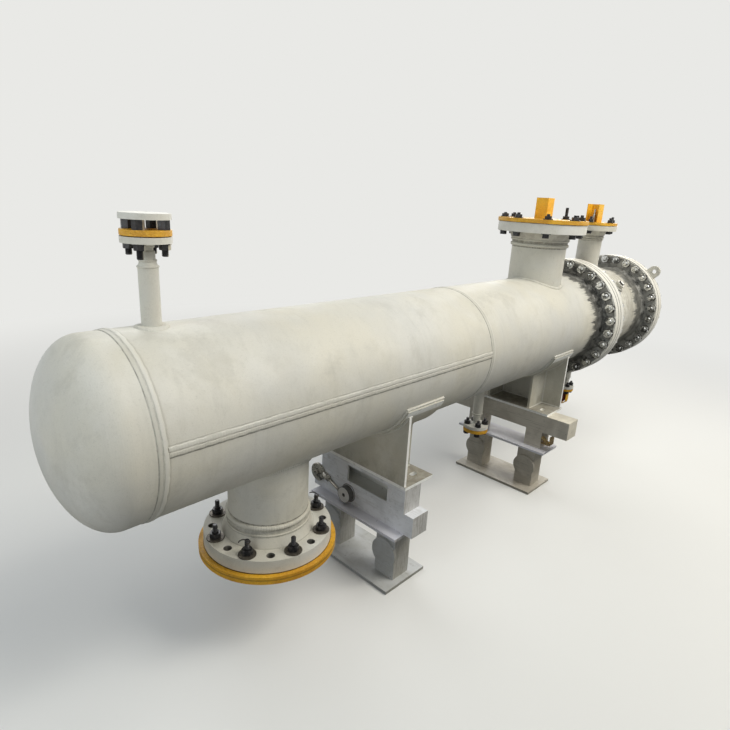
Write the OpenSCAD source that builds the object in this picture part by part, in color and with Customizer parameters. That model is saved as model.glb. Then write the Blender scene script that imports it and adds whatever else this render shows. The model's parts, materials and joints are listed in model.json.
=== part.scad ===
// Shell and tube heat exchanger on two shop stands.
// X runs from the dished head to the channel cover, Z is up.
// The origin is on the floor under the middle of the exchanger.

/* [Shell] */
// height of the shell centreline above the floor
axis_height = 1040; // [940:5:1200]
// outside diameter of shell and channel
shell_od = 610; // [596:1:624]
// shell, head and channel wall
shell_wall = 12; // [8:1:20]
// depth of the dished head beyond its straight skirt
head_depth = 152; // [130:1:190]
// straight skirt of the dished head
head_skirt = 58; // [40:1:80]
// first shell course, from the head seam
front_course_len = 1688; // [1500:1:1800]
// second shell course, up to the hub of the shell flange
rear_course_len = 1301; // [1200:1:1500]
// width of the weld bands
weld_w = 26; // [12:1:36]
// height of the weld bands
weld_h = 2.5; // [1:0.5:4]
// depth of the weld bands in the wall
weld_root = 1; // [0.5:0.5:3]
// width of the lengthwise seam
seam_w = 17; // [10:1:24]
// gap between the lengthwise seam and the weld bands
seam_gap = 4; // [0:0.5:10]
// angle of the lengthwise seam above the horizontal
seam_angle = 4.5; // [-10:0.5:20]

/* [Body flanges] */
// outside diameter of body flanges, tubesheet and cover
girth_od = 800; // [790:1:840]
// stud circle of the body flanges, in from the rim
girth_edge = 30; // [26:1:36]
// studs in each body flange
girth_bolts = 28; // [20:4:32]
// stud hole in the body flanges
girth_hole = 30; // [24:1:33]
// thickness of the shell flange
shell_flange_t = 46; // [36:1:70]
// thickness of the tubesheet
tubesheet_t = 36; // [30:1:60]
// thickness of both channel flanges
channel_flange_t = 46; // [36:1:70]
// thickness of the flat channel cover
channel_cover_t = 58; // [40:1:80]
// length of the hub behind each body flange
hub_len = 50; // [30:1:70]
// extra radius of the hub where it meets the flange
hub_rise = 14; // [6:1:18]
// gasket thickness
gasket_t = 3; // [2:0.5:5]
// radial width of the gaskets
gasket_w = 22; // [14:1:26]
// channel barrel between the two hubs
channel_len = 585; // [480:1:700]

/* [Cover lug] */
// angle of the lifting lug, up from the near side
lug_angle = 45; // [30:1:60]
// thickness of the lifting lug
lug_t = 20; // [12:1:30]
// width of the lifting lug
lug_w = 84; // [70:1:110]
// hole in the lifting lug
lug_hole = 32; // [20:1:38]
// centre of the lug hole beyond the cover rim
lug_reach = 34; // [28:1:50]

/* [Large nozzles] */
// pipe outside diameter of the two large nozzles
large_pipe_od = 323.9; // [300:0.1:340]
// pipe wall of the two large nozzles
large_pipe_wall = 12; // [8:1:20]
// flange outside diameter
large_flange_od = 520; // [510:1:540]
// flange thickness
large_flange_t = 56; // [44:1:66]
// how much thicker the hub is than the pipe where it meets the flange, each side
large_hub_rise = 26; // [20:1:32]
// hub height
large_hub_h = 68; // [50:1:80]
// bolt circle of the large nozzle flanges, in from the rim
large_edge = 34.5; // [31:0.5:38]
// bolt holes in each large nozzle flange
large_holes = 16; // [12:4:20]
// bolt hole diameter of the large nozzle flanges
large_hole_d = 32; // [28:1:34]
// shell centreline to the lower nozzle's flange face
lower_face = 640; // [620:1:680]
// lower nozzle from the head seam
lower_x = 578; // [540:1:640]
// how far the lower nozzle's cover reaches past its flange
lower_cover_lip = 21; // [10:1:34]
// thickness of the lower nozzle's cover
lower_cover_t = 30; // [20:1:40]
// shell centreline to the upper nozzle's flange face
upper_face = 638; // [610:1:660]
// upper nozzle from the head seam
upper_x = 2616; // [2560:1:2650]
// how far the upper nozzle's cover reaches past its flange
upper_cover_lip = 5; // [1:1:15]
// thickness of the upper nozzle's cover
upper_cover_t = 22; // [14:1:30]
// height of the raised face on every nozzle flange
raised_face = 3; // [1.5:0.5:5]
// how far the raised face reaches past the hub
face_lip = 3; // [1:0.5:5]

/* [Channel nozzle] */
// channel nozzle and channel drain from the channel's rear hub
channel_nozzle_x = 160; // [150:1:260]
// pipe outside diameter
channel_pipe_od = 159; // [150:1:168]
// pipe wall
channel_pipe_wall = 8; // [6:1:14]
// flange outside diameter
channel_nf_od = 320; // [314:1:340]
// flange thickness
channel_nf_t = 37; // [30:1:46]
// how much thicker the hub is than the pipe where it meets the flange, each side
channel_hub_rise = 23.5; // [16:0.5:26]
// hub height
channel_hub_h = 50; // [36:1:60]
// bolt circle, in from the rim
channel_nf_edge = 25; // [22:1:28]
// bolt holes
channel_nf_holes = 12; // [8:4:16]
// bolt hole diameter
channel_nf_hole_d = 22; // [18:1:24]
// channel centreline to the flange face
channel_face = 630; // [600:1:660]
// cover thickness
channel_nc_t = 18; // [12:1:24]
// plugged coupling on the barrel, from the channel's rear hub
coupling_x = 257; // [200:1:320]
// angle of the coupling, up from the near side
coupling_angle = 45; // [30:1:60]
// diameter of the coupling
coupling_d = 62; // [50:1:76]
// how far the coupling stands out of the barrel
coupling_out = 30; // [20:1:44]
// width across flats of the coupling's plug
plug_af = 36; // [28:1:41]
// height of the coupling's plug
plug_h = 12; // [8:1:18]

/* [Small nozzles] */
// pipe outside diameter of vent and drains
small_pipe_od = 60.3; // [57:0.1:64]
// pipe wall of vent and drains
small_pipe_wall = 5; // [4:0.5:8]
// collar outside diameter above the reducer
small_neck_od = 46; // [42:1:50]
// height of that collar
small_collar = 24; // [12:1:36]
// neck outside diameter above the collar
small_top_od = 36; // [32:1:40]
// length of the reducer cone
small_reducer = 18; // [14:1:30]
// flange outside diameter
small_flange_od = 148; // [144:1:165]
// flange thickness
small_flange_t = 22; // [18:1:28]
// how much thicker the hub is than the neck, each side
small_hub_rise = 12; // [9:1:15]
// hub height
small_hub_h = 12; // [8:1:20]
// bolt circle, in from the rim
small_edge = 20; // [17:0.5:23]
// bolt holes
small_holes = 4; // [4:4:8]
// bolt hole diameter
small_hole_d = 22; // [18:1:24]
// vent from the head seam
vent_x = 138; // [110:1:170]
// shell centreline to the vent's flange face
vent_face = 581; // [560:1:620]
// length of collar and neck, between hub and reducer
vent_neck = 40; // [38:1:60]
// thickness of the vent's yellow cover ring
vent_cover_t = 17; // [12:1:30]
// height of the nuts that carry the blind flange
vent_nut_h = 29; // [18:1:34]
// width across flats of those nuts
vent_nut_af = 32; // [26:1:34]
// thickness of the blind flange on the vent
blind_t = 18; // [14:1:30]
// shell drain from the head seam
drain_x = 2130; // [2000:1:2200]
// shell centreline to the shell drain's flange face
drain_face = 586; // [560:1:600]
// thickness of the shell drain's cover
drain_cover_t = 20; // [12:1:28]
// channel centreline to the channel drain's flange face
bilge_face = 600; // [560:1:620]
// channel drain flange outside diameter
bilge_flange_od = 125; // [120:1:135]
// how much thicker the channel drain's hub is than its neck, each side
bilge_hub_rise = 6; // [4:1:8]
// bolt circle of the channel drain, in from the rim
bilge_edge = 18; // [16:0.5:20]
// bolt hole of the channel drain
bilge_hole_d = 19; // [16:1:20]
// thickness of the channel drain's cover
bilge_cover_t = 14; // [10:1:20]

/* [Valve guards] */
// width of the guard on the upper nozzle
guard_w = 77; // [70:1:120]
// height of the guards on top
guard_h = 122; // [100:1:150]
// wall of the guards
guard_wall = 4; // [3:0.5:6]
// width of the guard on the channel nozzle
channel_guard_w = 83; // [70:1:120]
// width of the guard under the channel drain
bilge_guard_w = 64; // [58:1:76]
// depth of the guard under the channel drain
bilge_guard_h = 112; // [106:1:150]
// width of that guard's strap, along the shell
bilge_strap_w = 44; // [30:1:56]
// diameter of the valve inside that guard
drain_valve_d = 40; // [30:1:46]
// height of that valve
drain_valve_h = 96; // [70:1:99]
// height of that valve's tapered end
drain_tip_h = 14; // [8:1:24]
// diameter of that valve's tip
drain_tip_d = 24; // [16:1:28]
// diameter of the gas fill valve's body
valve_d = 26; // [20:1:34]
// height of the gas fill valve's body below the stem
valve_h = 54; // [44:1:58]
// height of the valve stem
stem_h = 34; // [24:1:40]
// diameter of the valve stem
stem_d = 16; // [12:1:18]
// diameter of the side port
port_d = 14; // [10:1:18]
// length of the side port from the valve's middle
port_len = 29; // [24:1:34]
// height of the side port above the cover
port_z = 26; // [18:1:34]

/* [Saddles] */
// shell centreline to the underside of the saddles
saddle_drop = 520; // [470:1:560]
// front saddle from the head seam
front_saddle_x = 1214; // [1120:1:1300]
// rear saddle from the head seam
rear_saddle_x = 2582; // [2500:1:2640]
// wear pad along the shell
pad_w = 252; // [230:1:290]
// arc of the wear pad
pad_wrap = 130; // [116:1:150]
// wear pad thickness
pad_t = 16; // [10:1:22]
// base plate along the shell
base_w = 200; // [160:1:220]
// base plate across the shell
base_len = 570; // [530:1:600]
// base plate thickness
base_t = 14; // [10:1:20]
// web and rib plate thickness
web_t = 14; // [8:1:20]
// centre of each rib from the centreline
rib_y = 145; // [120:1:190]
// gap between the ribs and the open edge of the base plate
rib_gap = 14; // [0:1:24]
// gap between the web and the ends of the base plate
web_gap = 8; // [0:1:20]
// shell centreline to the top corners of the web and ribs, inside the wear pad
web_top = 130; // [110:1:150]
// anchor slots, in from the ends of the base plate
slot_edge = 65; // [50:1:75]
// anchor slots, out from the middle of the base plate along the shell
slot_offset = 34; // [20:1:44]
// width of the anchor slots
slot_w = 24; // [20:1:28]
// overall length of the anchor slots, along the shell
slot_len = 44; // [40:1:60]

/* [Front stand] */
// stand steelwork, in from the edge of the saddle above it
stand_gap = 2; // [0:1:10]
// front stand's cross beam, in from the box above it
beam_gap = 8; // [0:1:20]
// width of the front stand's box
fbox_w = 112; // [90:1:150]
// height of the front stand's box
fbox_h = 122; // [100:1:150]
// length of the front stand's box across the shell, from the near end of the base plate
fbox_len = 471; // [420:1:520]
// plate of the front stand's box
fbox_wall = 10; // [6:1:14]
// window length in the box
window_len = 264; // [200:1:320]
// window height in the box
window_h = 84; // [50:1:90]
// middle of the window from the centreline
window_y = -48; // [-80:1:20]
// gap between the box and the block beyond it
fblock_gap = 8; // [2:1:20]
// how far that block stands back from the box's front
fblock_back = 10; // [0:1:20]
// width of the cross beam under the box
fbeam_w = 108; // [90:1:140]
// height of the cross beam under the box
fbeam_h = 106; // [80:1:130]
// length of the cross beam under the box
fbeam_len = 672; // [620:1:740]
// diameter of the round boss on the beam
boss_d = 84; // [60:1:100]
// hole in the round boss
boss_bore = 14; // [8:1:44]
// how far the round boss stands out
boss_out = 34; // [20:1:50]
// boss from the centreline
boss_y = 80; // [0:1:140]

/* [Rear stand] */
// width of the rear stand's beam
rbeam_w = 122; // [100:1:160]
// height of the rear stand's beam
rbeam_h = 112; // [90:1:140]
// length of the rear stand's beam
rbeam_len = 860; // [820:1:940]
// wall of the stand beams
beam_wall = 8; // [6:1:12]
// width of the spacer blocks under the rear beam, across the shell
block_y = 110; // [90:1:140]
// width of the spacer blocks, along the shell
block_x = 110; // [80:1:130]
// spacer blocks, centre from the centreline
block_pos = 214; // [180:1:240]

/* [Stand feet] */
// shelf plate under both stands, along the shell
shelf_w = 190; // [160:1:230]
// front shelf plate across the shell
front_shelf_len = 580; // [540:1:640]
// rear shelf plate across the shell
rear_shelf_len = 632; // [600:1:700]
// shelf plate thickness
shelf_t = 14; // [10:1:20]
// how far the front shelf reaches in front of the beam
front_shelf_out = 62; // [40:1:75]
// how far the rear shelf reaches in front of the beam
rear_shelf_out = 44; // [30:1:70]
// legs of the stands, along the shell
leg_x = 110; // [90:1:130]
// legs of the stands, across the shell
leg_y = 120; // [90:1:150]
// legs from the centreline
leg_pos = 186; // [150:1:210]
// diameter of the round cheek plates on the legs
cheek_d = 146; // [130:1:160]
// thickness of the round cheek plates
cheek_t = 14; // [8:1:20]
// foot plate along the shell
foot_w = 280; // [240:1:320]
// foot plate across the shell
foot_len = 560; // [520:1:620]
// foot plate thickness
foot_t = 16; // [12:1:24]

/* [Hidden] */
$fn = 96;
shell_r = shell_od / 2;
girth_pcd = girth_od - 2 * girth_edge;
large_pcd = large_flange_od - 2 * large_edge;
large_hub_d = large_pipe_od + 2 * large_hub_rise;
lower_cover_od = large_flange_od + 2 * lower_cover_lip;
upper_cover_od = large_flange_od + 2 * upper_cover_lip;
channel_nf_pcd = channel_nf_od - 2 * channel_nf_edge;
channel_hub_d = channel_pipe_od + 2 * channel_hub_rise;
small_pcd = small_flange_od - 2 * small_edge;
small_hub_d = small_top_od + 2 * small_hub_rise;
bilge_pcd = bilge_flange_od - 2 * bilge_edge;
bilge_hub_d = small_top_od + 2 * bilge_hub_rise;
slot_spacing = base_len - 2 * slot_edge;
bore_r = shell_r - shell_wall;
seam_arc = seam_w / shell_r * 180 / PI;
shell_end = front_course_len + rear_course_len;
x_sflange = shell_end + hub_len;
x_tube = x_sflange + shell_flange_t + gasket_t;
x_cflange = x_tube + tubesheet_t + gasket_t;
x_barrel = x_cflange + channel_flange_t + hub_len;
x_fflange = x_barrel + channel_len + hub_len;
x_cover = x_fflange + channel_flange_t + gasket_t;
x_end = x_cover + channel_cover_t;
x_shift = -(x_end - head_skirt - head_depth) / 2;
x_cnozzle = x_barrel + channel_nozzle_x;
stand_top = axis_height - saddle_drop;
pad_r = shell_r + pad_t;
front_box_x = front_saddle_x - base_w / 2 + stand_gap;
rear_beam_x = rear_saddle_x - base_w / 2 + stand_gap;
front_beam_x = front_box_x + beam_gap;
shelf_top = stand_top - fbox_h - fbeam_h;
steel = [0.80, 0.80, 0.76];
bare = [0.62, 0.63, 0.62];
yellow = [0.93, 0.66, 0.10];
grey = [0.55, 0.56, 0.56];
dark = [0.30, 0.31, 0.32];
red = [0.50, 0.08, 0.07];

// the vessel frame: x from the head seam, z from the centreline
module vessel() { translate([x_shift, 0, axis_height]) children(); }

// the floor frame: x from the head seam, z from the floor
module floor_frame() { translate([x_shift, 0, 0]) children(); }

// a profile of [radius, distance along x] turned about the shell centreline
module turned(pts) { rotate([0, 90, 0]) rotate_extrude() polygon(pts); }

function arc_pts(a, b, n) = [for (i = [0:n]) [a * cos(90 * i / n), -head_skirt - b * sin(90 * i / n)]];
function u_pts(r, len, way) = concat([[0, -way * r]],
    [for (i = [0:16]) [len - r + r * sin(180 * i / 16), -way * r * cos(180 * i / 16)]], [[0, way * r]]);
function arc_back(a, b, n) = [for (i = [0:n]) [a * sin(90 * i / n), -head_skirt - b * cos(90 * i / n)]];

module weld_band(x) {
    turned([[shell_r - weld_root, x], [shell_r + weld_h, x + weld_w * 0.3],
        [shell_r + weld_h, x + weld_w * 0.7], [shell_r - weld_root, x + weld_w]]);
}

module ring_x(x, len, ro, ri) {
    turned([[ri, x], [ro, x], [ro, x + len], [ri, x + len]]);
}

module studs_x(x, len) {
    for (i = [0:girth_bolts - 1])
        rotate([(i + 0.5) * 360 / girth_bolts, 0, 0])
            translate([x - 1, 0, girth_pcd / 2]) rotate([0, 90, 0])
                cylinder(d = girth_hole, h = len + 2, $fn = 32);
}

// holes on a circle about z, half a pitch off the x axis
module holes_z(z, len, pcd, n, d, step = 1, first = 0) {
    for (i = [first:step:n - 1])
        rotate([0, 0, (i + 0.5) * 360 / n])
            translate([pcd / 2, 0, z - 1]) cylinder(d = d, h = len + 2, $fn = 32);
}

// pipe standing up from the shell, set on its outer surface
module set_on_pipe(od, wall, top) {
    difference() {
        cylinder(d = od, h = top);
        translate([0, 0, -1]) cylinder(d = od - 2 * wall, h = top + 2);
        translate([-od, 0, 0]) rotate([0, 90, 0]) cylinder(r = shell_r, h = 2 * od, $fn = 180);
    }
}

// weld neck flange with its face up at z
module neck_flange(z, od, t, hub_d, hub_h, pipe_od, wall, pcd, n, d) {
    difference() {
        rotate_extrude() polygon([[pipe_od / 2 - wall, z], [hub_d / 2 + face_lip, z],
            [hub_d / 2 + face_lip, z - raised_face], [od / 2, z - raised_face], [od / 2, z - t],
            [hub_d / 2, z - t], [pipe_od / 2, z - t - hub_h], [pipe_od / 2 - wall, z - t - hub_h]]);
        holes_z(z - t, t, pcd, n, d);
    }
}

module cover_disc(z, od, t, pcd, n, d, step, first = 0) {
    difference() {
        translate([0, 0, z]) cylinder(d = od, h = t);
        holes_z(z, t, pcd, n, d, step, first);
    }
}

// reducing neck of the vent and drains, from the shell to the flange hub
module small_neck(face, neck) {
    hub_z = face - small_flange_t - small_hub_h;
    cone_z = hub_z - neck;
    collar_z = cone_z + small_collar;
    bore = small_top_od / 2 - small_pipe_wall;
    difference() {
        rotate_extrude() polygon([[0, 0], [small_pipe_od / 2, 0], [small_pipe_od / 2, cone_z - small_reducer],
            [small_neck_od / 2, cone_z], [small_neck_od / 2, collar_z], [small_top_od / 2, collar_z],
            [small_top_od / 2, hub_z], [bore, hub_z], [bore, cone_z],
            [small_pipe_od / 2 - small_pipe_wall, cone_z - small_reducer],
            [small_pipe_od / 2 - small_pipe_wall, 1], [0, 1]]);
        translate([-small_pipe_od, 0, 0]) rotate([0, 90, 0])
            cylinder(r = shell_r, h = 2 * small_pipe_od, $fn = 180);
    }
}

module down() { rotate([180, 0, 0]) children(); }

module shell_head() {
    color(steel) vessel() turned(concat([[shell_r, 0]], arc_pts(shell_r, head_depth, 40),
        arc_back(bore_r, head_depth - shell_wall, 40), [[bore_r, 0]]));
}

module shell_course_front() {
    color(steel) vessel() difference() {
        union() {
            ring_x(0, front_course_len, shell_r, bore_r);
            weld_band(0);
            rotate([180 - seam_angle - seam_arc / 2, 0, 0]) rotate([0, 90, 0]) rotate([0, 0, 90])
                translate([0, 0, weld_w + seam_gap]) rotate_extrude(angle = seam_arc)
                    translate([shell_r - weld_root, 0])
                        square([weld_root + weld_h, front_course_len - weld_w - 2 * seam_gap]);
        }
        translate([vent_x, 0, 0]) cylinder(d = small_pipe_od - 2 * small_pipe_wall, h = shell_od);
        translate([lower_x, 0, -shell_od]) cylinder(d = large_pipe_od - 2 * large_pipe_wall, h = shell_od);
    }
}

module shell_course_rear() {
    color(steel) vessel() difference() {
        union() {
            ring_x(front_course_len, rear_course_len, shell_r, bore_r);
            weld_band(front_course_len);
        }
        translate([upper_x, 0, 0]) cylinder(d = large_pipe_od - 2 * large_pipe_wall, h = shell_od);
        translate([drain_x, 0, -shell_od]) cylinder(d = small_pipe_od - 2 * small_pipe_wall, h = shell_od);
    }
}

module shell_flange() {
    color(bare) vessel() difference() {
        turned([[bore_r, shell_end], [shell_r, shell_end], [shell_r + hub_rise, x_sflange],
            [girth_od / 2, x_sflange], [girth_od / 2, x_sflange + shell_flange_t],
            [bore_r, x_sflange + shell_flange_t]]);
        studs_x(x_sflange, shell_flange_t);
    }
}

module tubesheet() {
    color(bare) vessel() difference() {
        translate([x_tube, 0, 0]) rotate([0, 90, 0]) cylinder(d = girth_od, h = tubesheet_t, $fn = 180);
        studs_x(x_tube, tubesheet_t);
    }
}

module channel_rear_flange() {
    color(bare) vessel() difference() {
        turned([[bore_r, x_cflange], [girth_od / 2, x_cflange], [girth_od / 2, x_cflange + channel_flange_t],
            [shell_r + hub_rise, x_cflange + channel_flange_t], [shell_r, x_barrel], [bore_r, x_barrel]]);
        studs_x(x_cflange, channel_flange_t);
    }
}

module channel_barrel() {
    color(steel) vessel() difference() {
        ring_x(x_barrel, channel_len, shell_r, bore_r);
        translate([x_cnozzle, 0, 0]) cylinder(d = channel_pipe_od - 2 * channel_pipe_wall, h = shell_od);
        translate([x_cnozzle, 0, -shell_od]) cylinder(d = small_pipe_od - 2 * small_pipe_wall, h = shell_od);
    }
}

module channel_front_flange() {
    color(bare) vessel() difference() {
        turned([[bore_r, x_fflange - hub_len], [shell_r, x_fflange - hub_len],
            [shell_r + hub_rise, x_fflange], [girth_od / 2, x_fflange],
            [girth_od / 2, x_fflange + channel_flange_t],
            [bore_r, x_fflange + channel_flange_t]]);
        studs_x(x_fflange, channel_flange_t);
    }
}

module channel_cover() {
    color(bare) vessel() difference() {
        translate([x_cover, 0, 0]) rotate([0, 90, 0]) cylinder(d = girth_od, h = channel_cover_t, $fn = 180);
        studs_x(x_cover, channel_cover_t);
    }
}

module girth_gaskets() {
    color(dark) vessel()
        for (x = [x_tube - gasket_t, x_cflange - gasket_t, x_cover - gasket_t])
            ring_x(x, gasket_t, shell_r + gasket_w, shell_r);
}

// flat lug standing on the rim of the cover
module cover_lifting_lug() {
    color(bare) vessel() rotate([90 - lug_angle, 0, 0])
        translate([x_cover + (channel_cover_t - lug_t) / 2, 0, 0]) difference() {
            union() {
                translate([0, -lug_w / 2, girth_od / 2 - 6]) cube([lug_t, lug_w, lug_reach + 6]);
                translate([0, 0, girth_od / 2 + lug_reach]) rotate([0, 90, 0]) cylinder(d = lug_w, h = lug_t);
            }
            translate([-1, 0, girth_od / 2 + lug_reach]) rotate([0, 90, 0])
                cylinder(d = lug_hole, h = lug_t + 2);
            translate([-1, 0, 0]) rotate([0, 90, 0]) cylinder(d = girth_od, h = lug_t + 2, $fn = 180);
        }
}

module bottom_nozzle_neck() {
    color(steel) vessel() translate([lower_x, 0, 0]) down()
        set_on_pipe(large_pipe_od, large_pipe_wall, lower_face - large_flange_t - large_hub_h);
}

module bottom_nozzle_flange() {
    color(steel) vessel() translate([lower_x, 0, 0]) down()
        neck_flange(lower_face, large_flange_od, large_flange_t, large_hub_d, large_hub_h, large_pipe_od,
            large_pipe_wall, large_pcd, large_holes, large_hole_d);
}

module bottom_nozzle_cover() {
    color(yellow) vessel() translate([lower_x, 0, 0]) down()
        cover_disc(lower_face, lower_cover_od, lower_cover_t, large_pcd, large_holes, large_hole_d, 2);
}

module top_nozzle_neck() {
    color(steel) vessel() translate([upper_x, 0, 0])
        set_on_pipe(large_pipe_od, large_pipe_wall, upper_face - large_flange_t - large_hub_h);
}

module top_nozzle_flange() {
    color(steel) vessel() translate([upper_x, 0, 0])
        neck_flange(upper_face, large_flange_od, large_flange_t, large_hub_d, large_hub_h, large_pipe_od,
            large_pipe_wall, large_pcd, large_holes, large_hole_d);
}

module top_nozzle_cover() {
    color(yellow) vessel() translate([upper_x, 0, 0])
        cover_disc(upper_face, upper_cover_od, upper_cover_t, large_pcd, large_holes, large_hole_d, 2, 1);
}

// square tube guard, open at the top
module top_nozzle_guard() {
    color(yellow) vessel() translate([upper_x, 0, upper_face + upper_cover_t]) difference() {
        translate([-guard_w / 2, -guard_w / 2, 0]) cube([guard_w, guard_w, guard_h]);
        translate([-guard_w / 2 + guard_wall, -guard_w / 2 + guard_wall, -1])
            cube([guard_w - 2 * guard_wall, guard_w - 2 * guard_wall, guard_h + 2]);
    }
}

// plugged coupling on the near side of the barrel
module channel_coupling() {
    color(steel) vessel() translate([x_barrel + coupling_x, 0, 0]) rotate([90 - coupling_angle, 0, 0])
        difference() {
            union() {
                cylinder(d = coupling_d, h = shell_r + coupling_out);
                cylinder(r = plug_af / sqrt(3), h = shell_r + coupling_out + plug_h, $fn = 6);
            }
            translate([-coupling_d, 0, 0]) rotate([0, 90, 0])
                cylinder(r = shell_r, h = 2 * coupling_d, $fn = 180);
        }
}

module channel_nozzle_neck() {
    color(steel) vessel() translate([x_cnozzle, 0, 0])
        set_on_pipe(channel_pipe_od, channel_pipe_wall, channel_face - channel_nf_t - channel_hub_h);
}

module channel_nozzle_flange() {
    color(steel) vessel() translate([x_cnozzle, 0, 0])
        neck_flange(channel_face, channel_nf_od, channel_nf_t, channel_hub_d, channel_hub_h, channel_pipe_od,
            channel_pipe_wall, channel_nf_pcd, channel_nf_holes, channel_nf_hole_d);
}

module channel_nozzle_cover() {
    color(yellow) vessel() translate([x_cnozzle, 0, 0])
        cover_disc(channel_face, channel_nf_od, channel_nc_t, channel_nf_pcd, channel_nf_holes,
            channel_nf_hole_d, 2);
}

// channel section guard, open towards the head
module channel_nozzle_guard() {
    color(yellow) vessel() translate([x_cnozzle, 0, channel_face + channel_nc_t]) difference() {
        translate([-channel_guard_w / 2, -channel_guard_w / 2, 0])
            cube([channel_guard_w, channel_guard_w, guard_h]);
        translate([-channel_guard_w / 2 - 1, -channel_guard_w / 2 + guard_wall, -1])
            cube([channel_guard_w - guard_wall + 1, channel_guard_w - 2 * guard_wall, guard_h + 2]);
    }
}

module fill_valve() {
    color(bare) vessel() translate([x_cnozzle, 0, channel_face + channel_nc_t]) {
        cylinder(d = valve_d, h = valve_h, $fn = 48);
        translate([0, 0, valve_h]) cylinder(d = stem_d, h = stem_h, $fn = 48);
        translate([0, 0, port_z]) rotate([0, -90, 0]) cylinder(d = port_d, h = port_len, $fn = 48);
    }
}

module vent_neck_pipe() {
    color(steel) vessel() translate([vent_x, 0, 0]) small_neck(vent_face, vent_neck);
}

module vent_flange() {
    color(steel) vessel() translate([vent_x, 0, 0])
        neck_flange(vent_face, small_flange_od, small_flange_t, small_hub_d, small_hub_h, small_top_od,
            small_pipe_wall, small_pcd, small_holes, small_hole_d);
}

module vent_cover() {
    color(yellow) vessel() translate([vent_x, 0, 0])
        cover_disc(vent_face, small_flange_od, vent_cover_t, small_pcd, small_holes, small_hole_d, 1);
}

// the four nuts that hold the blind flange clear of the cover
module vent_nuts() {
    color(dark) vessel() translate([vent_x, 0, vent_face + vent_cover_t])
        for (i = [0:small_holes - 1])
            rotate([0, 0, (i + 0.5) * 360 / small_holes]) translate([small_pcd / 2, 0, 0]) difference() {
                cylinder(r = vent_nut_af / sqrt(3), h = vent_nut_h, $fn = 6);
                translate([0, 0, -1]) cylinder(d = small_hole_d - 2, h = vent_nut_h + 2, $fn = 32);
            }
}

module vent_blind_flange() {
    color(steel) vessel() translate([vent_x, 0, vent_face + vent_cover_t + vent_nut_h])
        cylinder(d = small_flange_od, h = blind_t);
}

// necks under the shell and the channel
module drain_necks() {
    color(steel) vessel() {
        translate([drain_x, 0, 0]) down() small_neck(drain_face, vent_neck);
        translate([x_cnozzle, 0, 0]) down() small_neck(bilge_face, vent_neck);
    }
}

module drain_flanges() {
    color(steel) vessel() {
        translate([drain_x, 0, 0]) down()
            neck_flange(drain_face, small_flange_od, small_flange_t, small_hub_d, small_hub_h, small_top_od,
                small_pipe_wall, small_pcd, small_holes, small_hole_d);
        translate([x_cnozzle, 0, 0]) down()
            neck_flange(bilge_face, bilge_flange_od, small_flange_t, bilge_hub_d, small_hub_h, small_top_od,
                small_pipe_wall, bilge_pcd, small_holes, bilge_hole_d);
    }
}

module drain_covers() {
    color(yellow) vessel() {
        translate([drain_x, 0, 0]) down()
            cover_disc(drain_face, small_flange_od, drain_cover_t, small_pcd, small_holes, small_hole_d, 1);
        translate([x_cnozzle, 0, 0]) down()
            cover_disc(bilge_face, bilge_flange_od, bilge_cover_t, bilge_pcd, small_holes, bilge_hole_d, 1);
    }
}

// strap bent in a U under the channel drain
module channel_drain_guard() {
    color(yellow) vessel() translate([x_cnozzle + bilge_strap_w / 2, 0, 0]) down()
        translate([0, 0, bilge_face + bilge_cover_t]) rotate([0, -90, 0]) linear_extrude(bilge_strap_w)
            polygon(concat(u_pts(bilge_guard_w / 2, bilge_guard_h, 1),
                u_pts(bilge_guard_w / 2 - guard_wall, bilge_guard_h - guard_wall, -1)));
}

module channel_drain_valve() {
    color(red) vessel() translate([x_cnozzle, 0, 0]) down() translate([0, 0, bilge_face + bilge_cover_t]) {
        cylinder(d = drain_valve_d, h = drain_valve_h - drain_tip_h, $fn = 64);
        translate([0, 0, drain_valve_h - drain_tip_h])
            cylinder(d1 = drain_valve_d, d2 = drain_tip_d, h = drain_tip_h, $fn = 64);
    }
}

// wear pad, a slice of a ring under the shell
module saddle_pad(x) {
    translate([x - pad_w / 2, 0, 0]) rotate([0, 90, 0]) rotate([0, 0, -pad_wrap / 2])
        rotate_extrude(angle = pad_wrap) translate([shell_r, 0]) square([pad_t, pad_w]);
}

// web, two ribs and base plate; side is +1 with the web at the head end
module saddle_body(x, side) {
    web_x = side > 0 ? -base_w / 2 : base_w / 2 - web_t;
    rib_x = side > 0 ? -base_w / 2 + web_t : -base_w / 2 + rib_gap;
    top_h = saddle_drop - base_t - web_top;
    translate([x, 0, 0]) difference() {
        union() {
            translate([-base_w / 2, -base_len / 2, -saddle_drop]) cube([base_w, base_len, base_t]);
            translate([web_x, -base_len / 2 + web_gap, -saddle_drop + base_t])
                cube([web_t, base_len - 2 * web_gap, top_h]);
            for (s = [-1, 1])
                translate([rib_x, s * rib_y - web_t / 2, -saddle_drop + base_t])
                    cube([base_w - web_t - rib_gap, web_t, top_h]);
        }
        translate([-base_w, 0, 0]) rotate([0, 90, 0]) cylinder(r = pad_r, h = 2 * base_w, $fn = 180);
        for (s = [-1, 1])
            translate([side * slot_offset, s * slot_spacing / 2, -saddle_drop - 1]) {
                translate([-(slot_len - slot_w) / 2, -slot_w / 2, 0])
                    cube([slot_len - slot_w, slot_w, base_t + 2]);
                for (e = [-1, 1])
                    translate([e * (slot_len - slot_w) / 2, 0, 0])
                        cylinder(d = slot_w, h = base_t + 2, $fn = 48);
            }
    }
}

module saddle_pads() {
    color(steel) vessel() for (x = [front_saddle_x, rear_saddle_x]) saddle_pad(x);
}

module front_saddle() {
    color(steel) vessel() saddle_body(front_saddle_x, 1);
}

module rear_saddle() {
    color(steel) vessel() saddle_body(rear_saddle_x, -1);
}

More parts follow.
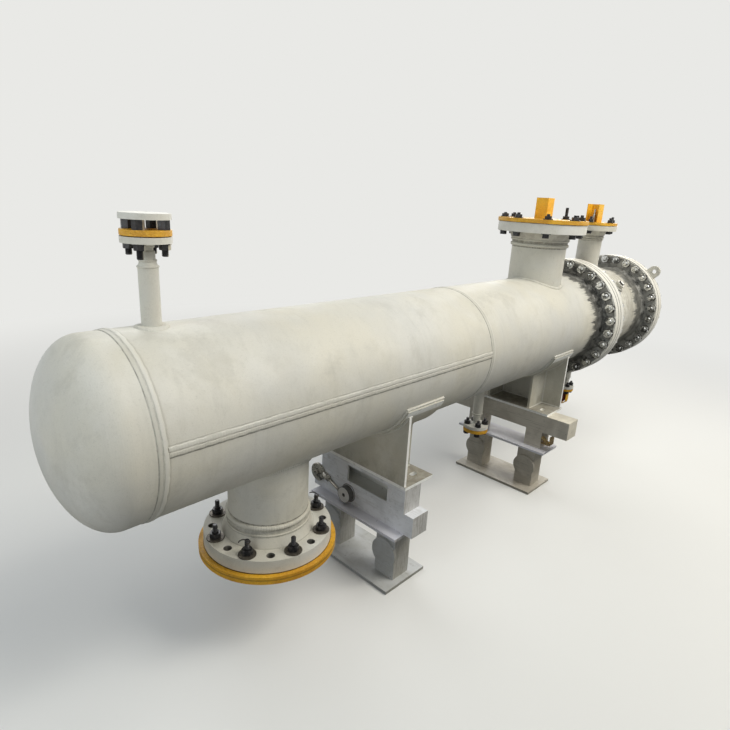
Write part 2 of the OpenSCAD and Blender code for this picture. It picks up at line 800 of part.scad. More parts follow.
module box_beam(x, w, len, z, h, wall) {
    difference() {
        translate([x, -len / 2, z]) cube([w, len, h]);
        translate([x + wall, -len / 2 + wall, z + wall]) cube([w - 2 * wall, len - 2 * wall, h - 2 * wall]);
    }
}

module front_stand_box() {
    color(grey) floor_frame() difference() {
        translate([0, (fbox_len - base_len) / 2, 0])
            box_beam(front_box_x, fbox_w, fbox_len, stand_top - fbox_h, fbox_h, fbox_wall);
        translate([front_box_x - 1, window_y - window_len / 2, stand_top - fbox_h / 2 - window_h / 2])
            cube([fbox_wall + 2, window_len, window_h]);
    }
}

module front_stand_beam() {
    color(grey) floor_frame() {
        box_beam(front_beam_x, fbeam_w, fbeam_len, shelf_top, fbeam_h, beam_wall);
        translate([front_beam_x - boss_out, boss_y, shelf_top + fbeam_h / 2])
            rotate([0, 90, 0]) difference() {
                cylinder(d = boss_d, h = boss_out, $fn = 64);
                translate([0, 0, -1]) cylinder(d = boss_bore, h = boss_out / 2, $fn = 48);
            }
    }
}

module shelf(x, out, len) {
    translate([x - out, -len / 2, shelf_top - shelf_t]) cube([shelf_w, len, shelf_t]);
}

// one shelf plate under each stand's upper steelwork
module stand_shelves() {
    color(grey) floor_frame() {
        shelf(front_beam_x, front_shelf_out, front_shelf_len);
        shelf(rear_beam_x, rear_shelf_out, rear_shelf_len);
    }
}

// box legs with a round cheek plate on the side towards the head
module stand_legs() {
    color(grey) floor_frame() for (x = [front_beam_x, rear_beam_x], s = [-1, 1])
        translate([x, s * leg_pos, 0]) {
            difference() {
                translate([0, -leg_y / 2, foot_t]) cube([leg_x, leg_y, shelf_top - shelf_t - foot_t]);
                translate([beam_wall, -leg_y / 2 + beam_wall, foot_t - 1])
                    cube([leg_x - 2 * beam_wall, leg_y - 2 * beam_wall, shelf_top]);
            }
            translate([-cheek_t, 0, (shelf_top - shelf_t + foot_t) / 2]) rotate([0, 90, 0])
                cylinder(d = cheek_d, h = cheek_t, $fn = 64);
        }
}

module stand_feet() {
    color(grey) floor_frame() for (x = [front_beam_x, rear_beam_x])
        translate([x + leg_x / 2 - foot_w / 2, -foot_len / 2, 0]) cube([foot_w, foot_len, foot_t]);
}

module rear_stand_beam() {
    color(grey) floor_frame()
        box_beam(rear_beam_x, rbeam_w, rbeam_len, stand_top - rbeam_h, rbeam_h, beam_wall);
}

// two blocks under the rear beam, and one beside the front stand's box
module stand_blocks() {
    color(grey) floor_frame() {
        for (s = [-1, 1])
            translate([rear_beam_x, s * block_pos - block_y / 2, shelf_top])
                cube([block_x, block_y, stand_top - rbeam_h - shelf_top]);
        translate([front_box_x + fblock_back, fbox_len + fblock_gap - base_len / 2, stand_top - fbox_h])
            cube([fbox_w - fblock_back, base_len - fbox_len - fblock_gap, fbox_h]);
    }
}

shell_head();
shell_course_front();
shell_course_rear();
shell_flange();
tubesheet();
channel_rear_flange();
channel_barrel();
channel_front_flange();
channel_cover();
girth_gaskets();
cover_lifting_lug();
bottom_nozzle_neck();
bottom_nozzle_flange();
bottom_nozzle_cover();
top_nozzle_neck();
top_nozzle_flange();
top_nozzle_cover();
top_nozzle_guard();
channel_coupling();
channel_nozzle_neck();
channel_nozzle_flange();
channel_nozzle_cover();
channel_nozzle_guard();
fill_valve();
vent_neck_pipe();
vent_flange();
vent_cover();
vent_nuts();
vent_blind_flange();
drain_necks();
drain_flanges();
drain_covers();
channel_drain_guard();
channel_drain_valve();
saddle_pads();
front_saddle();
rear_saddle();
front_stand_box();
front_stand_beam();
rear_stand_beam();
stand_blocks();
stand_shelves();
stand_legs();
stand_feet();
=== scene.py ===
import json
import math
import random

import bmesh
import bpy
from mathutils import Matrix, Vector


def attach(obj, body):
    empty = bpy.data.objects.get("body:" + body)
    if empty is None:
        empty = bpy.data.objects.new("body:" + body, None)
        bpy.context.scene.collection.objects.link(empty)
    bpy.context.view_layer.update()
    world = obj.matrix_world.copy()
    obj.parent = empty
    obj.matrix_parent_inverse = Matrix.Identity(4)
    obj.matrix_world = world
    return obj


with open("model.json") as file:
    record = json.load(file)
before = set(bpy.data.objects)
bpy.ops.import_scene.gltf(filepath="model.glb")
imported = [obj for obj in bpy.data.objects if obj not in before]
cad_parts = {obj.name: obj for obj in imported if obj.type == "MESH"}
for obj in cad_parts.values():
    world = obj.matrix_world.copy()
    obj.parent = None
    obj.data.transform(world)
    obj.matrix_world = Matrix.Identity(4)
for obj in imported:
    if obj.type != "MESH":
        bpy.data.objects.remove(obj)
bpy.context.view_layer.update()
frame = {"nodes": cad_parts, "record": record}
NODES = frame["nodes"]
rng = random.Random(7)

# The row frame in metres: the head seam, the shell's centreline and its radius
SEAM = -1.8775
AXIS = 1.04
SHELL_R = 0.305

# Places along the vessel in mm from the head seam; saddles with the side that their ribs are on
LOWER_X, UPPER_X, CHANNEL_X = 578, 2616, 3383
VENT_X, DRAIN_X, COUPLING_X = 138, 2130, 3480
COURSE_SEAM_X = 1688
SADDLES = ((1214, 1), (2582, -1))
FIRST_STUDS = (3039, 3173)
SECOND_STUDS = (3858, 3965)

# Nozzle faces in mm from the centreline, flange thicknesses, bolt circles and numbers of holes
LOWER_FACE, UPPER_FACE, CHANNEL_FACE = 640, 638, 630
VENT_FACE, DRAIN_FACE, CHANNEL_DRAIN_FACE = 581, 586, 600
LARGE_T, CHANNEL_T, SMALL_T = 56, 37, 22
LARGE_PCD, CHANNEL_PCD, SMALL_PCD, CHANNEL_DRAIN_PCD = 451, 270, 108, 89
LARGE_HOLES, CHANNEL_HOLES, SMALL_HOLES, GIRTH_STUDS = 16, 12, 4, 28
GIRTH_CIRCLE_R = 0.37


def sx(mm):
    return SEAM + mm / 1000


def az(mm):
    return AXIS + mm / 1000


def new_object(name, data):
    obj = bpy.data.objects.new(name, data)
    bpy.context.scene.collection.objects.link(obj)
    return obj


# Camera
YAW, PITCH, ROLL = 0.813, 0.299, 0.056
EYE = (-2.4555, -1.596, 1.756)
look = Vector((math.sin(YAW) * math.cos(PITCH), math.cos(YAW) * math.cos(PITCH), -math.sin(PITCH)))
level = Vector((math.cos(YAW), -math.sin(YAW), 0))
above = level.cross(look)
rolled_level = math.cos(ROLL) * level + math.sin(ROLL) * above
rolled_above = -math.sin(ROLL) * level + math.cos(ROLL) * above
camera_data = bpy.data.cameras.new("camera")
camera_data.sensor_fit = "HORIZONTAL"
camera_data.sensor_width = 36
camera_data.lens = 26.48
camera_data.clip_end = 200
camera = new_object("camera", camera_data)
aim = Matrix((rolled_level, rolled_above, -look)).transposed().to_4x4()
camera.matrix_world = Matrix.Translation(EYE) @ aim
bpy.context.scene.camera = camera
bpy.context.scene.view_settings.view_transform = "Standard"


# Shader helpers
class Tree:
    """The cleared node tree of a material or world, and short calls for it."""

    def __init__(self, owner):
        owner.use_nodes = True
        self.nodes = owner.node_tree.nodes
        self.links = owner.node_tree.links
        self.nodes.clear()

    def new(self, kind, **values):
        return self.fill(self.nodes.new(kind), **values)

    def fill(self, node, **values):
        """Sets inputs of a node by name, with _ for a space."""
        for name, value in values.items():
            self.put(node.inputs[name.replace("_", " ")], value)
        return node

    def put(self, socket, value):
        """Links an output to the socket, or sets its number or colour."""
        if isinstance(value, bpy.types.NodeSocket):
            self.links.new(value, socket)
        else:
            socket.default_value = (*lin(value), 1) if isinstance(value, tuple) else value

    def math(self, op, a, b=0):
        n = self.new("ShaderNodeMath")
        n.operation = op
        self.put(n.inputs[0], a)
        self.put(n.inputs[1], b)
        return n.outputs[0]


class Shader(Tree):
    """One material. Coordinates are the row frame in metres, and colours are read off in 0-255. The
    colour built up so far is kept in color."""

    def __init__(self, name):
        self.mat = bpy.data.materials.new(name)
        super().__init__(self.mat)
        self.surface = self.new("ShaderNodeOutputMaterial").inputs["Surface"]
        self.bsdf = self.new("ShaderNodeBsdfPrincipled")
        self.put(self.surface, self.bsdf.outputs["BSDF"])
        place = self.new("ShaderNodeTexCoord")
        self.co = place.outputs["Object"]
        self.x, self.y, self.z = self.parts(self.co)
        self.nx, self.ny, self.nz = self.parts(place.outputs["Normal"])

    def parts(self, vector):
        n = self.new("ShaderNodeSeparateXYZ")
        self.put(n.inputs[0], vector)
        return n.outputs[0], n.outputs[1], n.outputs[2]

    def mul(self, value, *factors):
        for factor in factors:
            value = self.math("MULTIPLY", value, factor)
        return value

    def add(self, a, b):
        return self.math("ADD", a, b)

    def minus(self, a, b):
        return self.math("SUBTRACT", a, b)

    def absolute(self, v):
        return self.math("ABSOLUTE", v)

    def highest(self, a, b):
        return self.math("MAXIMUM", a, b)

    def squares(self, first, *more):
        total = self.mul(first, first)
        for side in more:
            total = self.add(total, self.mul(side, side))
        return total

    def distance(self, *sides):
        return self.math("SQRT", self.squares(*sides))

    def sway(self, noise, size):
        """A noise turned into a shift to both sides of 0."""
        return self.mul(self.minus(noise, 0.5), size)

    def vec(self, x, y, z):
        n = self.new("ShaderNodeCombineXYZ")
        for i, v in enumerate((x, y, z)):
            self.put(n.inputs[i], v)
        return n.outputs[0]

    def noise(self, scale, detail, rough, warp=0, at=None):
        n = self.new("ShaderNodeTexNoise", Vector=at or self.co, Scale=scale, Detail=detail,
                     Roughness=rough, Distortion=warp)
        return n.outputs["Fac"]

    def streaks(self, detail, rough, warp, x_scale, y_scale, z_scale):
        at = self.vec(self.mul(self.x, x_scale), self.mul(self.y, y_scale), self.mul(self.z, z_scale))
        return self.noise(1, detail, rough, warp, at)

    def strokes(self, angle, detail, rough, warp, angle_scale, x_scale, third):
        """Noise that runs round the vessel."""
        at = self.vec(self.mul(angle, angle_scale), self.mul(self.x, x_scale), third)
        return self.noise(1, detail, rough, warp, at)

    def span(self, v, low, high, at_low=0, at_high=1):
        """Runs smoothly from at_low to at_high while v goes from low to high."""
        n = self.new("ShaderNodeMapRange", Value=v, From_Min=low, From_Max=high, To_Min=at_low,
                     To_Max=at_high)
        n.interpolation_type = "SMOOTHSTEP"
        return n.outputs["Result"]

    def fall(self, v, low, high):
        return self.span(v, low, high, 1, 0)

    def beyond(self, start, full):
        """The span along x, with both places in mm from the head seam; before is its reverse."""
        return self.span(self.x, sx(start), sx(full))

    def before(self, full, end):
        return self.fall(self.x, sx(full), sx(end))

    def above(self, start, full):
        """The span along z, with both heights in mm from the centreline; below is its reverse."""
        return self.span(self.z, az(start), az(full))

    def below(self, full, end):
        return self.fall(self.z, az(full), az(end))

    def window(self, v, start, full, ebb, end):
        """1 between full and ebb, 0 before start and after end."""
        return self.mul(self.span(v, start, full), self.fall(v, ebb, end))

    def line(self, v, at, half, soft):
        """1 where v is within half of at, falling to 0 over soft."""
        return self.fall(self.absolute(self.minus(v, at)), half, half + soft)

    def mix(self, fac, a, b):
        n = self.new("ShaderNodeMix")
        n.data_type = "RGBA"
        self.put(n.inputs[0], fac)
        self.put(n.inputs[6], a)
        self.put(n.inputs[7], b)
        return n.outputs[2]

    def tint(self, color, tone, *factors):
        """Lays tone over color by the product of the factors."""
        return self.mix(self.mul(*factors), color, tone)

    def lay(self, tone, *factors):
        self.color = self.tint(self.color, tone, *factors)

    def blend(self, fac, a, b):
        n = self.new("ShaderNodeMix")
        n.data_type = "FLOAT"
        self.put(n.inputs[0], fac)
        self.put(n.inputs[2], a)
        self.put(n.inputs[3], b)
        return n.outputs[0]

    def bump(self, height, distance, strength, under=None):
        n = self.new("ShaderNodeBump", Height=height, Distance=distance, Strength=strength)
        if under is not None:
            self.put(n.inputs["Normal"], under)
        return n.outputs["Normal"]

    def finish(self, rough, metal, normal, **more):
        self.fill(self.bsdf, Base_Color=self.color, Roughness=rough, Metallic=metal, Normal=normal, **more)
        return self.mat


def lin(color):
    """A colour read off in 0-255 turned into the shader's linear values."""
    out = []
    for v in color:
        v = v / 255
        out.append(v / 12.92 if v <= 0.04045 else ((v + 0.055) / 1.055) ** 2.4)
    return tuple(out)


PAINT = (201, 200, 193)
PAINT_DIRT = (166, 163, 152)
PAINT_WARM = (208, 204, 189)
BACK = (233, 233, 230)


def radius_from_axis(s):
    return s.distance(s.y, s.minus(s.z, AXIS))


def angle_about_axis(s):
    return s.math("ARCTAN2", s.y, s.minus(s.z, AXIS))


def paint_layers(s, base, dirt=PAINT_DIRT, warm=PAINT_WARM):
    """Sprayed matt paint: broad clouds, fine overspray, thin streaks down the sides."""
    clouds = s.noise(1.7, 3, 0.6)
    s.patches = s.noise(7, 6, 0.66, 0.4)
    s.speck = s.noise(420, 2, 0.6)
    grain = s.noise(130, 4, 0.7)
    streak = s.streaks(4, 0.6, 0, 34, 8, 3)
    mist = s.noise(2.7, 9, 0.74, 0.15)
    dull = s.noise(3.9, 9, 0.72, 0.3)
    s.color = s.mix(s.span(clouds, 0.36, 0.68), base, warm)
    s.lay((216, 214, 205), s.span(mist, 0.5, 0.6), 0.32)
    s.lay((172, 169, 157), s.span(dull, 0.52, 0.64), 0.28)
    s.lay(dirt, s.span(s.patches, 0.5, 0.8), 0.26)
    s.lay(dirt, s.span(streak, 0.52, 0.75), 0.16)
    s.lay((150, 147, 137), s.span(grain, 0.52, 0.72), 0.16)
    s.lay((146, 142, 131), s.span(s.speck, 0.56, 0.74), 0.22)
    s.lay((226, 224, 216), s.span(s.speck, 0.46, 0.3), 0.1)


def paint_bump(s):
    n = s.bump(s.noise(14, 2, 0.5), 0.0016, 0.3)
    n = s.bump(s.noise(150, 3, 0.55), 0.0005, 0.5, n)
    return s.bump(s.speck, 0.00018, 0.5, n)


def make_vessel_paint():
    s = Shader("vessel_paint")
    paint_layers(s, PAINT)
    ang = angle_about_axis(s)
    rad = radius_from_axis(s)
    # girth seams: painted shade in a sharp line on the head side, a flat band darkened as painted shade,
    # painted shade in a wavy line, a painted highlight on the bead and painted shade at its soft edge
    wave = s.sway(s.noise(38, 4, 0.65), 0.007)
    wear_and_light_breakup = s.span(s.noise(24, 3, 0.6), 0.3, 0.62, 0.45, 1)
    seam_shade_tone = (98, 96, 87)
    for start, deep in ((0, 1), (COURSE_SEAM_X, 0.72)):
        d = s.minus(s.x, sx(start))
        wavy = s.add(d, wave)
        flat = s.window(d, -0.004, -0.002, 0.008, 0.011)
        crown = s.window(d, 0.011, 0.014, 0.023, 0.027)
        s.lay((178, 176, 166), flat, 0.3 * deep)
        s.lay((218, 216, 207), crown, 0.45 * deep)
        edge = s.line(s.add(d, s.mul(wave, 0.3)), -0.0048, 0.0008, 0.0018)
        s.lay(seam_shade_tone, edge, wear_and_light_breakup, 0.66)
        s.lay(seam_shade_tone, s.line(wavy, 0.01, 0.0006, 0.0022), wear_and_light_breakup, 0.34 * deep)
        s.lay(seam_shade_tone, s.line(wavy, 0.028, 0.0008, 0.005), 0.17 * deep)
    # the lengthwise seam is on the near side, 4.5 degrees above the horizontal: two strips with a groove, the
    # upper one lighter as a painted highlight and the lower one darker as painted shade, with painted shade
    # lines along the groove and both edges
    arc = s.add(s.mul(s.add(ang, math.radians(85.5)), SHELL_R), s.mul(wave, 0.35))
    along = s.mul(s.beyond(25, 29), s.before(1684, COURSE_SEAM_X))
    upper = s.window(arc, 0.001, 0.003, 0.0145, 0.0165)
    lower = s.window(arc, -0.0165, -0.0145, -0.001, 0.001)
    s.lay((216, 214, 205), upper, along, 0.34)
    s.lay((170, 167, 155), lower, along, 0.34)
    for at_arc, half, soft, power in ((0.0172, 0.0008, 0.0036, 0.36), (0, 0.0007, 0.0022, 0.4),
                                      (-0.0172, 0.0014, 0.0024, 0.66)):
        s.lay(seam_shade_tone, s.line(arc, at_arc, half, soft), wear_and_light_breakup, along, power)
    # the shell end by the first body flange and the barrel towards the second one: bare and oily, with
    # a ragged brushed edge
    teeth = s.strokes(ang, 3, 0.6, 0.2, 10, 3, 3)
    fine = s.strokes(ang, 5, 0.8, 0, 34, 9, 9)
    moved = s.add(s.x, s.add(s.sway(teeth, 0.24), s.sway(fine, 0.24)))
    on_shell = s.before(3150, 3200)
    on_barrel = s.beyond(3150, 3200)
    dark_shell = s.mul(s.span(moved, sx(2908), sx(2930)), on_shell)
    dark = s.highest(dark_shell, s.span(moved, sx(3662), sx(3712)))
    # the barrel is brushed thinly round its girth, tan where the old coat shows
    girth = s.strokes(ang, 5, 0.7, 0.4, 3.4, 26, 5)
    tan_end = s.span(s.add(moved, s.mul(s.patches, 0.12)), sx(3500), sx(3640))
    s.lay((222, 219, 206), on_barrel, 0.6)
    s.lay((146, 136, 116), s.span(girth, 0.44, 0.6), on_barrel, 0.42)
    s.lay((140, 133, 116), tan_end, on_barrel, 0.34)
    strokes = s.strokes(ang, 4, 0.7, 0.2, 2.2, 90, 11)
    near_two = s.mul(s.span(moved, sx(3560), sx(3720)), on_barrel)
    stroke = s.mul(s.span(strokes, 0.55, 0.66), s.blend(near_two, 0.25, 0.85))
    s.lay((66, 64, 59), stroke, on_barrel, 0.92)
    s.lay((150, 148, 140), s.span(moved, sx(2820), sx(2940)), on_shell, 0.35)
    smear = s.span(s.noise(26, 5, 0.7), 0.35, 0.7)
    grime = s.mix(smear, (48, 48, 46), (122, 121, 115))
    wiped = s.strokes(ang, 4, 0.7, 0.3, 5, 60, 21)
    grime = s.tint(grime, (150, 148, 141), s.span(wiped, 0.56, 0.68), 0.6)
    s.lay(grime, dark, 0.92)
    # painted shade in a dark ring round the foot of the coupling
    slant = math.sqrt(0.5)
    dx = s.minus(s.x, sx(COUPLING_X))
    dy = s.minus(s.y, -SHELL_R * slant)
    dz = s.minus(s.z, AXIS + SHELL_R * slant)
    far = s.add(s.distance(dx, dy, dz), s.sway(fine, 0.03))
    s.lay((52, 50, 45), s.fall(far, 0.046, 0.056), 0.8, s.fall(rad, 0.309, 0.311))
    # the coupling itself: a near white face as a painted highlight, and painted shade in a dark ring round
    # the plug
    along_c = s.mul(s.minus(dz, dy), slant)
    side_c = s.math("SQRT", s.highest(s.minus(s.squares(dx, dy, dz), s.mul(along_c, along_c)), 0))
    on_c = s.mul(s.span(rad, 0.3085, 0.3095), s.fall(far, 0.06, 0.062), on_barrel)
    s.lay((238, 236, 229), on_c, s.fall(side_c, 0.029, 0.03), 0.85)
    s.lay((44, 42, 38), on_c, s.window(side_c, 0.0165, 0.0175, 0.02, 0.0215), 0.9)
    rough = s.blend(dark, s.span(s.patches, 0.2, 0.8, 0.46, 0.62), 0.4)
    return s.finish(rough, 0, paint_bump(s), Specular_IOR_Level=0.42)


def make_nozzle_paint(name, tone):
    s = Shader(name)
    paint_layers(s, tone)
    s.lay((150, 140, 120), s.span(s.noise(30, 5, 0.7), 0.56, 0.78), 0.3)
    # the pipe joints of the nozzles: brownish groove lines as painted shade in the grooves, a dirtier hub on
    # the upper one
    on_upper = s.mul(s.beyond(2330, 2335), s.before(2890, 2895))
    on_lower = s.before(900, 940)
    on_channel = s.beyond(3200, 3205)
    upper_hub = s.mul(s.above(500, 508), s.below(574, 582))
    smut = s.span(s.noise(16, 5, 0.7, 0.4), 0.36, 0.66)
    s.lay((136, 126, 108), upper_hub, on_upper, smut, 0.45)
    level_at = s.add(s.z, s.sway(s.noise(44, 3, 0.6), 0.005))
    rough_line = s.span(s.noise(60, 4, 0.7), 0.34, 0.6, 0.5, 1)
    grooves = ((494, 0.0022, 0.72, on_upper), (522, 0.0064, 0.6, on_upper), (538, 0.0016, 0.5, on_upper),
               (-497, 0.002, 0.74, on_lower), (-527, 0.0076, 0.44, on_lower), (-542, 0.0012, 0.4, on_lower),
               (524, 0.0014, 0.55, on_channel), (538, 0.0018, 0.6, on_channel), (553, 0.004, 0.6, on_channel))
    for height, half, power, gate in grooves:
        groove = s.line(level_at, az(height), half, 0.0034)
        s.lay((86, 82, 69), groove, rough_line, gate, power)
    # painted shade inside the bolt holes, and a line of painted shade where the hub meets the flange
    flanges = ((LOWER_X, -LOWER_FACE, LARGE_T, LARGE_PCD, LARGE_HOLES, 0.016, 0.188, on_lower),
               (UPPER_X, UPPER_FACE, LARGE_T, LARGE_PCD, LARGE_HOLES, 0.016, 0.188, on_upper),
               (CHANNEL_X, CHANNEL_FACE, CHANNEL_T, CHANNEL_PCD, CHANNEL_HOLES, 0.011, 0.103, on_channel))
    for mid_x, face, thick, pcd, holes, hole, hub, gate in flanges:
        circle = pcd / 2000
        pitch = math.radians(360 / holes)
        dx = s.minus(s.x, sx(mid_x))
        reach = s.distance(dx, s.y)
        cell = s.math("FRACT", s.add(s.math("DIVIDE", s.math("ARCTAN2", s.y, dx), pitch), 64))
        off = s.distance(s.sway(cell, pitch * circle), s.minus(reach, circle))
        flange_band = s.fall(s.absolute(s.minus(s.z, az(face * 0.955))), 0.04, 0.044)
        in_hole = s.fall(off, hole - 0.0002, hole + 0.001)
        s.lay((40, 38, 34), in_hole, gate, flange_band, 0.85)
        hub_line = s.line(s.z, az(face - math.copysign(thick, face)), 0.001, 0.0014)
        s.lay((104, 100, 88), hub_line, s.fall(reach, hub + 0.001, hub + 0.004), gate, 0.22)
    rough = s.span(s.patches, 0.2, 0.8, 0.48, 0.64)
    return s.finish(rough, 0, paint_bump(s), Specular_IOR_Level=0.42)


def make_body_flange():
    """White rims with a thin bare line at each joint; dark oily bolting faces and hubs."""
    s = Shader("body_flange")
    paint_layers(s, (226, 225, 218), (186, 183, 172), (222, 218, 205))
    r = radius_from_axis(s)
    ang = angle_about_axis(s)
    wobble = s.strokes(ang, 4, 0.65, 0, 16, 30, 0)
    inner = s.fall(s.add(r, s.sway(wobble, 0.01)), 0.3885, 0.3925)
    rim = s.span(r, 0.396, 0.3975)
    facing = s.span(s.absolute(s.nx), 0.15, 0.35)
    cover_out = s.beyond(3962, 3964)
    steel = s.mul(inner, s.minus(1, s.mul(cover_out, 0.9)))
    smear = s.noise(22, 6, 0.72, 0.6)
    oily = s.mix(s.span(smear, 0.34, 0.66), (66, 66, 64), (152, 151, 145))
    oily = s.tint(oily, (160, 160, 152), s.span(s.noise(60, 4, 0.7), 0.58, 0.72), 0.5)
    # the second pair of flanges is lighter than the first, in patches
    wiped = s.span(s.noise(17, 5, 0.7, 0.4), 0.38, 0.58)
    oily = s.tint(oily, (176, 175, 168), s.beyond(3600, 3605), wiped, 0.7)
    s.lay(oily, steel)
    # joint lines on the rims, with the paint chipped along the outer edges
    for joint in (3086.5, 3125.5, 3905.5):
        s.lay((66, 64, 60), s.line(s.x, sx(joint), 0.003, 0.0016), rim, 0.8)
    wear_and_light_breakup = s.span(s.noise(24, 4, 0.7), 0.5, 0.64)
    for edge in (FIRST_STUDS[0], FIRST_STUDS[1], SECOND_STUDS[0]):
        s.lay((120, 118, 112), s.line(s.x, sx(edge), 0.0022, 0.0022), rim, wear_and_light_breakup, 0.6)
    rough = s.blend(steel, s.span(s.patches, 0.2, 0.8, 0.45, 0.6), s.span(smear, 0.3, 0.7, 0.28, 0.5))
    turned = s.noise(1, 2, 0.5, 0, s.vec(s.mul(r, 900), s.mul(s.x, 900), s.mul(ang, 1.5)))
    normal = s.bump(s.mul(turned, steel), 0.0004, 0.35, paint_bump(s))
    return s.finish(rough, s.mul(steel, facing, 0.35), normal, Specular_IOR_Level=0.45)


def make_lug():
    s = Shader("lug_steel")
    paint_layers(s, (200, 198, 188))
    wear = s.span(s.noise(55, 5, 0.7), 0.58, 0.7)
    s.lay((96, 97, 96), wear, 0.6)
    return s.finish(0.5, s.mul(wear, 0.4), paint_bump(s))


def make_yellow(name, tone, deep):
    """Brushed-on gloss yellow over steel: strokes, thin places, dark knocks."""
    s = Shader(name)
    strokes = s.streaks(5, 0.65, 0.5, 60, 60, 260)
    broad = s.noise(9, 4, 0.6, 0.4)
    lumps = s.noise(70, 5, 0.7, 0.6)
    dots = s.noise(170, 4, 0.7, 0.3)
    s.color = s.mix(s.span(broad, 0.35, 0.68), tone, deep)
    s.lay((172, 118, 22), s.span(strokes, 0.48, 0.74), 0.5)
    s.lay((246, 200, 70), s.span(lumps, 0.52, 0.66), 0.35)
    s.lay((104, 82, 44), s.span(s.noise(48, 6, 0.75, 0.8), 0.64, 0.72), 0.65)
    s.lay((236, 196, 90), s.span(s.noise(30, 5, 0.7, 0.2), 0.6, 0.76), 0.35)
    # the lower disc: a brown line along the middle of its edge, and painted shadow in the gap under the
    # flange
    on_lower = s.before(900, 940)
    wavy_z = s.add(s.z, s.sway(s.noise(11, 4, 0.6), 0.008))
    reach = s.distance(s.minus(s.x, sx(LOWER_X)), s.y)
    mid = s.mul(s.line(wavy_z, az(-652), 0.001, 0.0035), s.span(reach, 0.279, 0.28))
    gap = s.mul(s.above(-642, -640.5), s.fall(reach, 0.26, 0.264))
    s.lay((120, 80, 18), mid, on_lower, 0.55)
    s.lay((52, 40, 20), gap, on_lower, 0.8)
    s.lay((128, 88, 20), s.span(dots, 0.58, 0.7), 0.45)
    s.lay((244, 204, 92), s.span(dots, 0.42, 0.32), 0.4)
    normal = s.bump(strokes, 0.0016, 0.7)
    normal = s.bump(lumps, 0.0046, 0.8, normal)
    normal = s.bump(dots, 0.0014, 0.6, normal)
    return s.finish(s.span(broad, 0.3, 0.7, 0.36, 0.52), 0, normal)


def make_gasket():
    s = Shader("gasket")
    n = s.noise(260, 4, 0.6)
    s.color = s.mix(n, (38, 36, 34), (92, 88, 80))
    return s.finish(0.75, 0, s.bump(n, 0.0004, 0.6))


def make_steel(name, tone, deep, rough, grime, metal=1, painted_dark_reflection=0):
    """Plain machined or plated steel with fine turning marks and dirt; painted_dark_reflection darkens some
    faces by their direction, as a painted reflection.
    """
    s = Shader(name)
    spots = s.noise(70, 5, 0.7)
    s.color = s.mix(s.span(spots, 0.36, 0.7), tone, deep)
    s.lay((48, 46, 43), s.span(s.noise(38, 5, 0.7, 0.5), 0.48, 0.68), grime)
    # painted reflection: faces turned some ways are darkened, as dark surroundings would show in the metal
    if painted_dark_reflection:
        turned = [s.add(s.mul(n, 2.2), s.mul(place, scale))
                  for n, place, scale in ((s.nx, s.x, 3), (s.ny, s.y, 21), (s.nz, s.z, 21))]
        side = s.noise(1, 1, 0.5, 0, s.vec(*turned))
        s.lay((62, 62, 61), s.fall(side, 0.43, 0.47), painted_dark_reflection)
    marks = s.streaks(2, 0.5, 0, 1200, 120, 1200)
    normal = s.bump(s.noise(600, 2, 0.6), 0.0001, 0.3, s.bump(marks, 0.00015, 0.35))
    return s.finish(s.span(spots, 0.3, 0.7, rough - 0.06, rough + 0.1), metal, normal)


def make_black():
    s = Shader("black_nut")
    n = s.noise(90, 5, 0.7)
    s.color = s.mix(s.span(n, 0.4, 0.72), (24, 24, 26), (60, 58, 58))
    s.lay((122, 118, 112), s.span(s.noise(150, 4, 0.7), 0.62, 0.74), 0.5)
    # painted highlight: the vent's nuts are cream on the faces that look one way, as if sunlit
    at_vent = s.before(300, 305)
    turned = s.minus(s.mul(s.nx, 0.92), s.mul(s.ny, 0.39))
    highlight_breakup = s.span(s.noise(60, 3, 0.6), 0.34, 0.46, 0.4, 1)
    s.lay((210, 202, 180), s.span(turned, 0.62, 0.74), highlight_breakup, at_vent, 0.75)
    normal = s.bump(s.noise(400, 3, 0.6), 0.0003, 0.5)
    return s.finish(s.span(n, 0.3, 0.7, 0.26, 0.44), 0.25, normal)


def make_saddle_paint():
    s = Shader("saddle_paint")
    paint_layers(s, (182, 180, 168), (138, 134, 121), (190, 184, 166))
    low = s.fall(s.z, 0.532, 0.64)
    s.lay((128, 122, 108), low, s.span(s.noise(18, 5, 0.7), 0.4, 0.65), 0.45)
    stain = s.span(s.noise(26, 6, 0.72, 0.4), 0.36, 0.66, 0.35, 0.85)
    upward = s.mul(s.span(s.nz, 0.7, 0.9), s.below(-500, -498))
    s.lay((128, 122, 110), upward, stain)
    # painted highlight on the plate edges: the base plate's rim and the near edge of web and ribs
    rim = s.mul(s.above(-504.5, -505.5), s.fall(s.absolute(s.nz), 0.4, 0.6))
    near = s.mul(s.span(s.mul(s.ny, -1), 0.7, 0.9), s.span(s.y, -0.27, -0.276))
    wear_and_light_breakup = s.span(s.noise(34, 4, 0.7), 0.26, 0.5, 0.55, 1)
    s.lay((250, 250, 246), s.highest(rim, near), wear_and_light_breakup, 0.92)
    rough = s.span(s.patches, 0.2, 0.8, 0.5, 0.68)
    return s.finish(rough, 0, paint_bump(s), Specular_IOR_Level=0.4)


